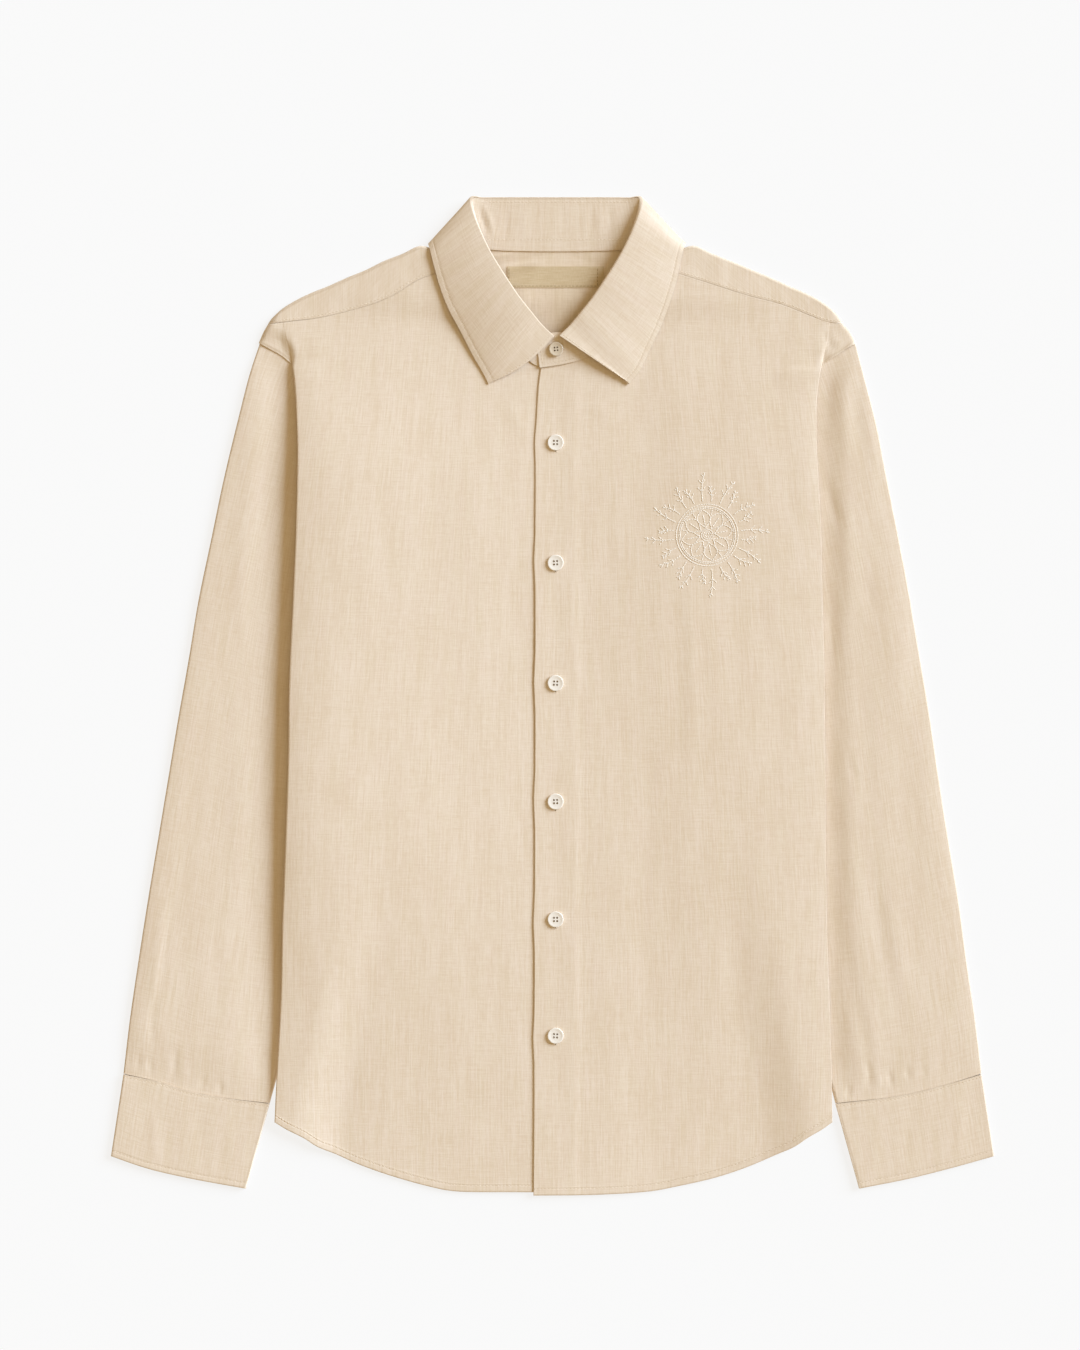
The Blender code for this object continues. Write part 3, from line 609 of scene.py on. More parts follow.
class Line:
    """A line of close points, read by the share of its length."""

    def __init__(self, *runs, curved=True):
        """runs are lists of points; each is curved by itself, and they meet at corners."""
        self.points = np.vstack([smooth_points(r) if curved and len(r) > 2 else np.array(r, float)
                                 for r in runs])
        steps = np.linalg.norm(np.diff(self.points, axis=0), axis=1)
        self.length = steps.sum()
        self.gone = np.concatenate([[0.0], np.cumsum(steps)]) / self.length

    def at(self, t):
        t = np.clip(t, 0.0, 1.0)
        return np.stack([np.interp(t, self.gone, self.points[:, k])
                         for k in range(self.points.shape[1])], axis=-1)


def side_points(table, side):
    """Points (x, y) of a table of heights and left and right x."""
    return [(row[1] if side < 0 else row[2], row[0]) for row in table]


def mirror_points(table, side):
    """Points (x, y) of a table of heights and distances out from the middle line."""
    return [(MIDDLE_X + side * row[1], row[0]) for row in table]


def moved(points, x=0.0, y=0.0):
    return [(p[0] + x, p[1] + y) for p in points]


for side, word in SIDES.items():
    print("outer fold of the", word, "sleeve, mm:", round(Line(side_points(SLEEVE_OUTER, side)).length))


# %% Patches
def patch(bottom, top, left, right, u, v):
    """Points of the sheet between four lines, for shares u across and v up."""
    u, v = np.broadcast_arrays(u, v)
    uu, vv = u[..., None], v[..., None]
    across = bottom.at(u) * (1 - vv) + top.at(u) * vv
    up = left.at(v) * (1 - uu) + right.at(v) * uu
    low = bottom.points[0] * (1 - uu) + bottom.points[-1] * uu
    high = top.points[0] * (1 - uu) + top.points[-1] * uu
    return across + up - (low * (1 - vv) + high * vv)


def spaced(lengths, step, start=(), end=()):
    """Shares from 0 to 1 along each of several lengths: at fixed distances from the ends, in mm,
    and evenly between. lengths has one value for each line; the result one row for each line."""
    lengths = np.atleast_1d(np.array(lengths, float))[:, None]
    first = start[-1] if len(start) else 0.0
    last = end[-1] if len(end) else 0.0
    room = np.maximum(lengths - first - last, lengths * 0.1)
    count = max(2, int(round(float(room.mean()) / step)))
    near = np.zeros_like(lengths) + np.array(start[:-1], float)
    even = first + room * np.linspace(0, 1, count + 1)
    far = lengths - np.array(end[::-1][1:], float)
    return np.clip(np.hstack([near, even, far]) / lengths, 0.0, 1.0)


print("a hem of 650 mm in steps of 5:", spaced(650.0, 5.0).shape[1], "points")

# %% [markdown]
# ## How high the cloth lies
# The sleeves lie under the sides, so back and fronts climb over them. The fronts climb slowly, from
# the middle to a crest near each side, and fall off in a round fold. Towards the hem they come down
# on the back.

# %% Heights of back and fronts
OVER_SLEEVE = {-1: 5.0, 1: 3.8}   # underside of the back over the sleeves
RAMP = 45.0                       # width of its slope down to the table
RAMP_MARGIN = 18.0                # from the sleeve's hidden edge to that slope
BASE_FADE = (256.0, 279.0)        # where the back comes down to the table at the shoulders
LEAF_LIFT = 1.9                   # the yoke lies on the collar leaf behind the neck
LEAF_LIFT_Y = (296.0, 319.0)
LEAF_LIFT_OUT = (96.0, 200.0)
TOP_NECK = 5.0                    # upper face of the fronts: at the neck, in the middle, at the crests
TOP_MIDDLE = 6.2
TOP_SIDE = {-1: 15.6, 1: 8.6}
TOP_START = 20.0                  # mm out from the button line where the fronts begin to climb
EVEN_CLIMB = 222.0                # the under front climbs evenly over this width
EVEN_SHARE = 0.8                  # and by this share it does so straight
SIDE_FADE = (165.0, 315.0)        # where the crests come down to the neck's height
NECK_FADE = (100.0, 250.0)        # where the middle does
SLEEVE_LINE = sorted([row for row in ARMHOLE if row[0] < 272.0] + list(SLEEVE_INNER[:-1]))
SLEEVE_LINE_Y = [row[0] for row in SLEEVE_LINE]


def sleeve_out(side, y):
    """How far out from the middle the sleeve's hidden edge lies at height y."""
    left = np.interp(y, SLEEVE_LINE_Y, [MIDDLE_X - row[1] for row in SLEEVE_LINE])
    right = np.interp(y, SLEEVE_LINE_Y, [row[2] - MIDDLE_X for row in SLEEVE_LINE])
    return np.where(side < 0, left, right)


def leaf_lift(x, y):
    """How much higher the yoke lies on the collar leaf, which fades towards the shoulders."""
    return LEAF_LIFT * fade(y, *LEAF_LIFT_Y) * (1 - fade(abs(x - MIDDLE_X), *LEAF_LIFT_OUT))


def base(x, y):
    """Underside of the back panel."""
    clear = sleeve_out(x - MIDDLE_X, y) - abs(x - MIDDLE_X)
    over = 1 - ease((clear - RAMP_MARGIN) / RAMP)
    full = np.where(x < MIDDLE_X, OVER_SLEEVE[-1], OVER_SLEEVE[1])
    return full * over * (1 - fade(y, *BASE_FADE)) + leaf_lift(x, y)


def front_top(x, y):
    """Upper face of the fronts before their edges are shaped."""
    out = abs(x - MIDDLE_X)
    middle = mix(TOP_MIDDLE, TOP_NECK, fade(y, *NECK_FADE))
    crest = mix(np.where(x < MIDDLE_X, TOP_SIDE[-1], TOP_SIDE[1]), TOP_NECK, fade(y, *SIDE_FADE))
    steep = fade(out, TOP_START, sleeve_out(x - MIDDLE_X, y) - RAMP_MARGIN)
    even = np.clip(out / EVEN_CLIMB, 0, 1)
    climb = np.where(x < MIDDLE_X, mix(ease(even), even, EVEN_SHARE), steep)
    return np.maximum(mix(middle, crest, climb) + leaf_lift(x, y), base(x, y) + 2 * WALL + REST)


print("fronts at half height, mm:", [round(float(front_top(np.float64(x), np.float64(-50.0))), 1)
                                    for x in (-200, -100, 0, 100, 200)])

# %% [markdown]
# ## Creases
# A cloth simulation would choose its own folds, and these have known places, so they are listed one
# by one. Each is a soft trough or ridge along a short bent line, with its own width and depth, deepest
# in its middle. The shirt is pressed and the lamp is low, so even a tenth of a millimetre shows.

# %% Creases
WAVES = 7                         # waves that make up the unevenness of loose cloth
RIDGE_TRIED = (((0, -20), (0, 20)), 2, 0.5)


def near_line(xy, points):
    """Distance of each point to a bent line, and the share along the line where it is nearest."""
    line = Line(points)
    best = np.full(xy.shape[:-1], 1e9)
    share = np.zeros_like(best)
    for a, b, t0, t1 in zip(line.points, line.points[1:], line.gone, line.gone[1:]):
        run = b - a
        along = np.clip(((xy - a) @ run) / max(run @ run, 1e-9), 0, 1)
        distance = np.linalg.norm(xy - a - along[..., None] * run, axis=-1)
        closer = distance < best
        best = np.where(closer, distance, best)
        share = np.where(closer, mix(t0, t1, along), share)
    return best, share


def creased(xy, creases):
    """Height that a list of creases adds. A crease is (points, width, depth): depth below 0 is a
    trough, above 0 a ridge. It fades out towards its ends."""
    total = np.zeros(xy.shape[:-1])
    for points, width, depth in creases:
        reach = 3.0 * width
        low, high = np.min(points, axis=0) - reach, np.max(points, axis=0) + reach
        near = ((xy > low) & (xy < high)).all(-1)
        if near.any():
            distance, share = near_line(xy[near], points)
            strength = np.sin(np.pi * np.clip(share, 0.02, 0.98)) ** 0.7
            total[near] += depth * np.exp(-(distance / width) ** 2) * strength
    return total


def waves(xy, across, along, height, seed):
    """Slow unevenness of cloth that lies loose: a few crossing waves of uneven length."""
    rng = np.random.default_rng(seed)
    total = np.zeros(xy.shape[:-1])
    for _ in range(WAVES):
        kx = rng.uniform(0.5, 1.4) * 2 * np.pi / across
        ky = rng.uniform(-1.2, 1.2) * 2 * np.pi / along
        size = rng.uniform(0.5, 1.0)
        total += size * np.sin(kx * xy[..., 0] + ky * xy[..., 1] + rng.uniform(0, 6.28))
    return total * height / 4.0


print("height of a ridge in its middle:", creased(np.zeros((1, 1, 2)), (RIDGE_TRIED,))[0, 0])

# %% [markdown]
# ## Edges
# Cloth has no sharp edges: a fold, a turned hem and a seam each have their own small profile across
# the edge. Each profile here is worked out from the distance between a point of the sheet and the
# edge, so the sheet's grid is made finer there.

# %% Profiles beside an edge
def away(xy, line, shares):
    """Distance of each point of a grid from its own place on a line."""
    return np.linalg.norm(xy - line.at(shares), axis=2)


def rounded(distance, width):
    """How far a round edge has risen at a distance in from it, from 0 to 1."""
    return np.sqrt(1 - (1 - np.clip(distance / width, 0, 1)) ** 2)


def rolled(distance, radius):
    """How far a turned edge has dropped at a distance in from it."""
    inside = np.clip(radius - distance, 0.0, radius)
    return radius - np.sqrt(radius**2 - inside**2)


def groove(distance, place, width):
    """Share of a groove's depth at a distance from an edge, for a groove at a certain place."""
    return np.exp(-((distance - place) / width) ** 2)


print("half-way in, a round edge has risen", round(float(rounded(0.5, 1.0)), 2))

# %% [markdown]
# ## Cloth from a grid of points
# Each piece of cloth starts as a grid of points on its outer face. Solidify gives it its wall,
# inwards, and a UV map in metres keeps the weave at one size all over.

# %% Objects and their walls
PIECES = {}                       # finished objects by name
SHARP = {"cloth": 50, "resin": 35, "thread": 40}   # degrees past which an edge stays sharp


def put_in_scene(name, mesh, *finishes):
    """An object of a mesh, in the scene and with its finishes."""
    made = bpy.data.objects.new(name, mesh)
    bpy.context.scene.collection.objects.link(made)
    for finish in finishes:
        mesh.materials.append(finish)
    PIECES[name] = made
    return made


def one_selected(made):
    bpy.ops.object.select_all(action="DESELECT")
    made.select_set(True)
    bpy.context.view_layer.objects.active = made


def triangles(mesh):
    return sum(len(p.vertices) - 2 for p in mesh.polygons)


def run_lengths(points, axis):
    """Length gone along the rows (axis 1) or columns (axis 0) of a grid of points."""
    steps = np.linalg.norm(np.diff(points, axis=axis), axis=2)
    start = np.zeros((points.shape[0], 1)) if axis == 1 else np.zeros((1, points.shape[1]))
    return np.concatenate([start, np.cumsum(steps, axis=axis)], axis=axis)


def weld(made, distance):
    """Join points that lie on each other."""
    shape = bmesh.new()
    shape.from_mesh(made.data)
    bmesh.ops.remove_doubles(shape, verts=shape.verts, dist=distance)
    shape.to_mesh(made.data)
    shape.free()


def finish_cloth(name, mesh, finish, thickness, offset, joined, second=None):
    """The object of a cloth mesh, with its wall applied and its flat faces smooth."""
    made = put_in_scene(name, mesh, finish, second or finish)
    if joined:
        weld(made, 1e-6)
    one_selected(made)
    wall = made.modifiers.new("wall", "SOLIDIFY")
    wall.thickness = thickness * MM
    wall.offset = offset
    wall.use_even_offset = False
    wall.use_quality_normals = True
    bpy.ops.object.modifier_apply(modifier=wall.name)
    bpy.ops.object.shade_smooth_by_angle(angle=math.radians(SHARP["cloth"]))
    made.select_set(False)
    area = sum(p.area for p in made.data.polygons) / 2
    print(name, "triangles", triangles(made.data), "cloth m2", round(area, 4))
    return made


# %% Meshes from grids
def grid_faces(rows, columns, start=0):
    """The four-sided faces of a grid whose first point has the given number."""
    index = start + np.arange(rows * columns).reshape(rows, columns)
    return np.stack([index[:-1, :-1], index[:-1, 1:], index[1:, 1:], index[1:, :-1]], -1).reshape(-1, 4)


def mesh_from(name, grids, flip):
    """A mesh from grids of points with their flat patterns. The first takes the first finish and the
    others the second."""
    points, flats, faces, finishes, start = [], [], [], [], 0
    for number, (grid, flat) in enumerate(grids):
        points.append(grid.reshape(-1, 3))
        flats.append(flat.reshape(-1, 2))
        faces.append(grid_faces(grid.shape[0], grid.shape[1], start))
        finishes += [min(number, 1)] * len(faces[-1])
        start += points[-1].shape[0]
    points, flats, faces = np.vstack(points), np.vstack(flats), np.vstack(faces)
    if flip:
        faces = faces[:, ::-1]
    mesh = bpy.data.meshes.new(name)
    mesh.from_pydata((points * MM).tolist(), [], faces.tolist())
    mesh.uv_layers.new(name="cloth")
    mesh.uv_layers["cloth"].data.foreach_set("uv", (flats[faces.reshape(-1)] * MM).ravel())
    mesh.polygons.foreach_set("material_index", np.array(finishes, np.int32))
    return mesh


def cloth(name, points, flat, finish, thickness=CLOTH, offset=-1.0, ring=False, flip=False):
    """A piece of cloth from one grid of points and its flat pattern, both in mm."""
    return finish_cloth(name, mesh_from(name, ((points, flat),), flip), finish, thickness, offset, ring)


print("a grid of 3 by 4 points has", len(grid_faces(3, 4)), "faces")

# %% [markdown]
# ## Fronts
# A front has five shapes at once: the climb over the sleeve, the round side fold, the double hem
# with its small slanting puckers, the turned front edge, and the seam to the yoke. Each is a height
# added to the sheet. The upper front lies 1.1 mm higher where it laps, and the inner edge of its
# turned facing shows through as a faint line beside the buttons.

# %% Measures of the fronts
FOLD_REACH = {-1: 58.0, 1: 45.0}  # width of the whole side fold
FOLD_ROLL = {-1: 0.8, 1: 0.22}    # width of the tight part of the side fold
FOLD_SOFT = {-1: 3.1, 1: 1.2}     # height of the soft slope beside it
HEM_FADE = 300.0                  # over this height the fronts come down on the back
HEM_BAND = 6.6                    # turned hem
HEM_RISE = 0.18                   # how much thicker it is
HEM_STITCH = 5.4
PUCKER_DEPTH = 0.13
PUCKER_PLACE = (3.2, 3.4)         # middle of the puckered band, and half its width
STITCH_SINK = 0.2                 # depth of the groove that stitches pull into the cloth
SEAM_SINK = 0.15                  # the same along a joining seam
SEAM_WIDE = 0.9
FACING_X = 19.6                   # inner edge of the facing
FACING_STEP = 0.25                # and how far the front sinks there
FACING_TOP = 262.0                # its upper end, at the collar
EDGE_BULGE = 1.1                  # front edge pushed out beside each button
FRONT_STEP = 2.6                  # mm between the grid's points
TIP_ROUND = 4.0
TIP_TOP = {-1: 3.9, 1: 4.7}       # shoulder tip beside the sleeve head
TIP_LOW = 1.6                     # its outer edge
FOLD_ENDS = (262.0, 274.0)        # heights along the shirt where the side fold becomes the tip's crease
TIP_RISE = (266.0, 292.0)         # and where that crease rises to the yoke
FOLD_SPOTS = (0.0, 0.1, 0.3, 0.6, 1.0, 1.5, 2.2, 3.2, 4.6, 6.4, 8.6)
EDGE_SPOTS = (0.0, 0.12, 0.35, 0.7, 1.2, 2.0, 3.2)
HEM_SPOTS = (0.0, 0.12, 0.35, 0.7, 1.4, 2.4, 3.6, 4.7, 5.1, 5.4, 5.7, 6.1, 6.8, 7.8, 9.4)
SEAM_SPOTS = (0.0, 0.25, 0.6, 1.0, 1.6, 2.6)
print("points across each edge:", len(FOLD_SPOTS), len(EDGE_SPOTS), len(HEM_SPOTS), len(SEAM_SPOTS))

# %% Creases of the fronts
FRONT_CREASES = {
    -1: (
        (((-216.5, 293), (-215.5, 286), (-213.5, 275)), 3.4, -0.5),
        (((-209, 287), (-206, 276), (-203, 262)), 6.0, 0.35),
        (((-196, 300), (-192, 270), (-188, 230), (-186, 180)), 12, 0.35),
        (((-150, 212), (-147, 120), (-150, 20)), 9, 0.12),
        (((-98, 240), (-92, 150), (-95, 60)), 11, -0.10),
        (((-60, 180), (-57, 60), (-61, -60)), 10, 0.09),
        (((-120, -60), (-124, -160), (-121, -260)), 12, 0.10),
        (((-40, -120), (-44, -220), (-41, -320)), 9, -0.08),
        (((-176, -80), (-180, -180), (-178, -290)), 10, -0.10),
        (((-33, 231), (-27, 218), (-24, 205)), 5, 0.25),
        (((-80, -300), (-60, -330), (-30, -345)), 10, -0.10),
    ),
    1: (
        (((110, 96), (111.5, 20), (109, -52)), 4.5, 0.22),
        (((97, 100), (99, 10), (96, -70)), 9, -0.12),
        (((160.8, 251.2), (167, 237), (175.6, 223.2)), 0.9, -0.13),
        (((217, 289), (220.5, 281), (229, 272.5)), 1.6, -0.8),
        (((228, 273), (233, 279)), 1.6, -0.4),
        (((223, 290), (226, 283), (231, 278)), 2.2, 0.4),
        (((213, 288), (213.5, 276), (214, 262)), 4.5, 0.3),
        (((214, 262), (217, 258.5)), 1.3, -0.3),
        (((196, 298), (199, 260), (200, 200), (203, 120)), 10, 0.30),
        (((150, 246), (152, 170), (150, 90)), 10, 0.12),
        (((66, 220), (69, 130), (66, 30)), 9, 0.10),
        (((176, 60), (178, -60), (176, -180)), 10, -0.10),
        (((130, -60), (133, -170), (130, -280)), 11, 0.12),
        (((74, -90), (70, -200), (74, -310)), 10, -0.09),
        (((38, 150), (40, 60), (37, -40)), 7, -0.06),
        (((24, 236), (40, 226), (52, 214)), 6, 0.2),
        (((16, 243), (30, 238), (44, 236)), 3, -0.12),
        (((118, 60), (128, 30), (132, -10)), 3, 0.07),
    ),
}


print("creases in the fronts:", {word: len(FRONT_CREASES[side]) for side, word in SIDES.items()})


# %% Outline and hem of a front
def hem_puckers(along, distance, seed):
    """Slanting puckers of a stitched hem, uneven in spacing and depth."""
    rng = np.random.default_rng(seed)
    phase = along / 5.6 + 0.9 * np.sin(along / 31.0 + rng.uniform(0, 6)) + 1.7 * np.sin(along / 97.0)
    strength = np.clip(0.35 + 0.75 * np.sin(along / 53.0 + rng.uniform(0, 6)) * np.sin(along / 23.0), 0, 1)
    wave = np.sin(phase * 2 * np.pi / 1.6 + distance * 0.45)
    return PUCKER_DEPTH * strength * groove(distance, *PUCKER_PLACE) * wave


def front_lines(side):
    """Hem, top, side fold and front edge of a front."""
    body = list(reversed(side_points(BODY_EDGE, side)))[:-1]
    crease = side_points(TIP_CREASE, side)
    fold = Line(body + crease)
    seam = moved(side_points(YOKE_SEAM, side), y=-0.12)[2:]
    neck = mirror_points(NECKLINE, side)
    if side < 0:
        edge = Line([(LAP_UNDER_X, HEM_MIDDLE_Y[0]), (LAP_UNDER_X, 262.0)])
        top = Line([crease[-1]] + seam, [seam[-1]] + neck[1:] + [tuple(edge.points[-1])])
        hem = Line(side_points(HEM, side) + [(-30, -397.4), tuple(edge.points[0])])
    else:
        edge = Line([(x, y) for y, x in reversed(FRONT_EDGE)])
        for spot in BUTTON_Y:
            edge.points[:, 0] -= EDGE_BULGE * np.exp(-((edge.points[:, 1] - spot) / 13.0) ** 2)
        neck = neck[1:-2] + [(28.4, 270.5), (15.6, 266.2), (3.0, 263.4)]
        top = Line([crease[-1]] + seam, [seam[-1]] + neck + [tuple(edge.points[-1])])
        hem = Line(side_points(HEM, side) + [(38, -399.3), tuple(edge.points[0])])
    return hem, top, fold, edge


for side, word in SIDES.items():
    print("side fold of the", word, "front, mm:", round(front_lines(side)[2].length))


# %% Shoulder tip of a front
def make_tip(side, crease, start):
    """The shoulder tip beyond the crease: its grid, and its flat pattern, from the crease outwards."""
    tip = side_points(TIP, side)
    below = Line([tuple(crease[0, :2])] + tip[:3])
    outer = Line(tip[2:])
    above = Line([tuple(crease[-1, :2]), tip[-1]])
    v = run_lengths(crease[:, None, :2], 0)
    v = v / v[-1]
    u = spaced(22.0, FRONT_STEP, (0.0, 0.7, 1.6), (0.0, 0.3, 0.8, 1.6, 2.6, 4.0))
    inner = Line(crease[:, :2], curved=False)
    xy = patch(below, above, inner, outer, u, v)
    xy[:, 0] = crease[:, :2]
    in_distance, out_distance = away(xy, inner, v), away(xy, outer, v)
    full = mix(TIP_TOP[side], front_top(xy[..., 0], xy[..., 1]), fade(xy[..., 1], 282.0, 297.0))
    z = mix(crease[:, 2:3], full, ease(in_distance / 11.0))
    z = mix(TIP_LOW, z, rounded(out_distance, TIP_ROUND))
    z += creased(xy, FRONT_CREASES[side]) * ease(in_distance / 3.0) * ease(out_distance / 4.0)
    z -= STITCH_SINK * (1 - ease(away(xy, below, u))) * ease(in_distance / 2.0)
    z -= SEAM_SINK * (1 - ease(away(xy, above, u) / SEAM_WIDE)) * ease(in_distance / 2.0)
    points = np.dstack([xy, z])
    points[:, 0] = crease
    flat = start[:, None, :] + np.dstack([side * run_lengths(points, 1), np.zeros_like(z)])
    return points[:, ::-1], flat[:, ::-1]


print("shoulder tips, mm high:", TIP_TOP)


# %% The fronts
def front_grid(side):
    """Points (x, y) of a front, with its four lines and the shares across and up."""
    hem, top, fold, edge = lines = front_lines(side)
    even = np.linspace(0, 1, 60)
    width = np.linalg.norm(edge.at(even) - fold.at(even), axis=1)
    v_even = spaced(680.0, FRONT_STEP, HEM_SPOTS, SEAM_SPOTS)[0]
    u = spaced(np.interp(v_even, even, width), FRONT_STEP, FOLD_SPOTS, EDGE_SPOTS)
    height = np.linalg.norm(top.at(u[0]) - hem.at(u[0]), axis=1)
    v = spaced(height, FRONT_STEP, HEM_SPOTS, SEAM_SPOTS).T
    count = min(v.shape[0], u.shape[0])
    u, v = u[:count], v[:count]
    v[-1] = 1.0
    return patch(hem, top, fold, edge, u, v), lines, u, v


def fold_height(side, xy, fold_y, distance, hem_distance):
    """Height of a front from the low edge of its side fold, over the round fold, to the middle."""
    x, y = xy[..., 0], xy[..., 1]
    ground = base(x, y)
    crest = mix(ground + WALL + REST + WALL, front_top(x, y), ease(hem_distance / HEM_FADE))
    tip_share = fade(fold_y, *FOLD_ENDS)
    tip_low = mix(TIP_TOP[side] - 0.4, crest - 0.3, fade(y, *TIP_RISE))
    low = mix(ground + WALL * 0.6, tip_low, tip_share)
    room = np.maximum(crest - low, 0.3)
    soft = FOLD_SOFT[side] * np.tanh(room * 0.4 / FOLD_SOFT[side])
    far = 1 - np.clip(distance / FOLD_REACH[side], 0, 1)
    tight = rounded(distance, mix(FOLD_ROLL[side], 5.0, tip_share))
    return low + (room - soft) * tight + soft * (1 - far**3)


def make_front(name, side):
    xy, (hem, top, fold, edge), u, v = front_grid(side)
    x, y = xy[..., 0], xy[..., 1]
    fold_y = fold.at(v)[..., 1]
    distance, hem_distance = away(xy, fold, v), away(xy, hem, u)
    z = fold_height(side, xy, fold_y, distance, hem_distance)
    if side > 0:
        z += LAP_RISE * (1 - fade(x, *LAP_FADE))
        step = fade(x, FACING_X, FACING_X + 1.6) * (1 - fade(x, FACING_X + 6, FACING_X + 36))
        z -= FACING_STEP * step * (y < FACING_TOP)
    z += creased(xy, FRONT_CREASES[side]) * ease(distance / 3.0)
    z += ease(distance / 12.0) * waves(xy, 75.0, 300.0, 0.16, 3 + side)
    z += ease(distance / 12.0) * waves(xy, 26.0, 150.0, 0.035, 13 + side)
    z += HEM_RISE * (1 - fade(hem_distance, HEM_BAND - 0.7, HEM_BAND + 0.7))
    z += hem_puckers(u * hem.length, hem_distance, 5 + side) * ease(distance / 6.0)
    z -= STITCH_SINK * groove(hem_distance, HEM_STITCH, 0.45)
    z -= rolled(hem_distance, 0.7) * ease(distance / 2.0)
    z -= rolled(away(xy, edge, v), 0.35)
    z -= SEAM_SINK * (1 - ease(away(xy, top, u) / SEAM_WIDE))
    points = np.dstack([xy, z])
    flat = np.dstack([side * run_lengths(points[:, ::-1], 1)[:, ::-1], y])
    first = int(np.argmax(fold_y[:, 0] >= TIP_CREASE[0][0]))
    tip = make_tip(side, points[first:, 0], flat[first:, 0])
    mesh = mesh_from(name, ((points, flat), tip), side > 0)
    return finish_cloth(name, mesh, LINEN, CLOTH, -1.0, True)


for side, word in SIDES.items():
    make_front(f"front_{word}_cloth", side)

# %% [markdown]
# ## Back
# The back lies on the table in the middle and over the sleeves at the sides. Little of it shows, so
# its grid is coarser. Its side edges hide inside the round folds of the fronts.

# %% Back
BACK_INSET = 1.1                  # from the side folds of the fronts
BACK_STEP = 5.0


def make_back():
    left, right = [Line(moved(side_points(BODY_EDGE, side)[::-1], x=-side * BACK_INSET))
                   for side in SIDES]
    corner_left, corner_right = tuple(left.points[0]), tuple(right.points[0])
    hem = moved(side_points(HEM, -1)[1:] + side_points(HEM, 1)[:0:-1], y=1.2)
    hem = Line([corner_left] + hem + [corner_right])
    seam_y = BACK_SEAM_Y - 0.3
    top = Line([tuple(left.points[-1]), (-120, seam_y), (120, seam_y), tuple(right.points[-1])],
               curved=False)
    u = spaced(430.0, BACK_STEP, (0, 1.5, 4), (0, 1.5, 4))
    v = spaced(650.0, BACK_STEP, HEM_SPOTS[:-2], (0, 1.5)).T
    xy = patch(hem, top, left, right, u, v)
    z = base(xy[..., 0], xy[..., 1]) + WALL - rolled(away(xy, hem, u), 0.5)
    return cloth("back_cloth", np.dstack([xy, z]), xy, LINEN, thickness=WALL - 0.1)


make_back()

# %% [markdown]
# ## Sleeves
# A sleeve is a tube pressed flat. Its upper layer is a little full in the middle and sinks towards
# the body, where it goes under. Soft folds run down from the shoulder, and where the wide sleeve is
# sewn to the narrow cuff it puckers.

# %% Measures and creases of the sleeves
SLEEVE_THICK = 3.4                # at the cuff
SLEEVE_CREST = 4.6
SLEEVE_HEAD = 3.0                 # near the armhole
ARMHOLE_LOW = 2.1                 # at the armhole seam
SLEEVE_DIP = 2.1                  # upper layer beside the body
DIP_REACH = {-1: 46.0, 1: 26.0}   # width of its slope up to the crest
SLEEVE_EDGE = 0.9                 # width of the tight part of the outer fold
SLEEVE_SOFT = 18.0                # width of the soft slope beside it
SLEEVE_STEP = 2.8
SLEEVE_SPOTS = (0.0, 0.1, 0.3, 0.7, 1.3, 2.2, 3.4, 5.0, 7.0, 9.4)
CUFF_SPOTS = (0.0, 0.3, 0.8, 1.5, 2.6, 4.0)

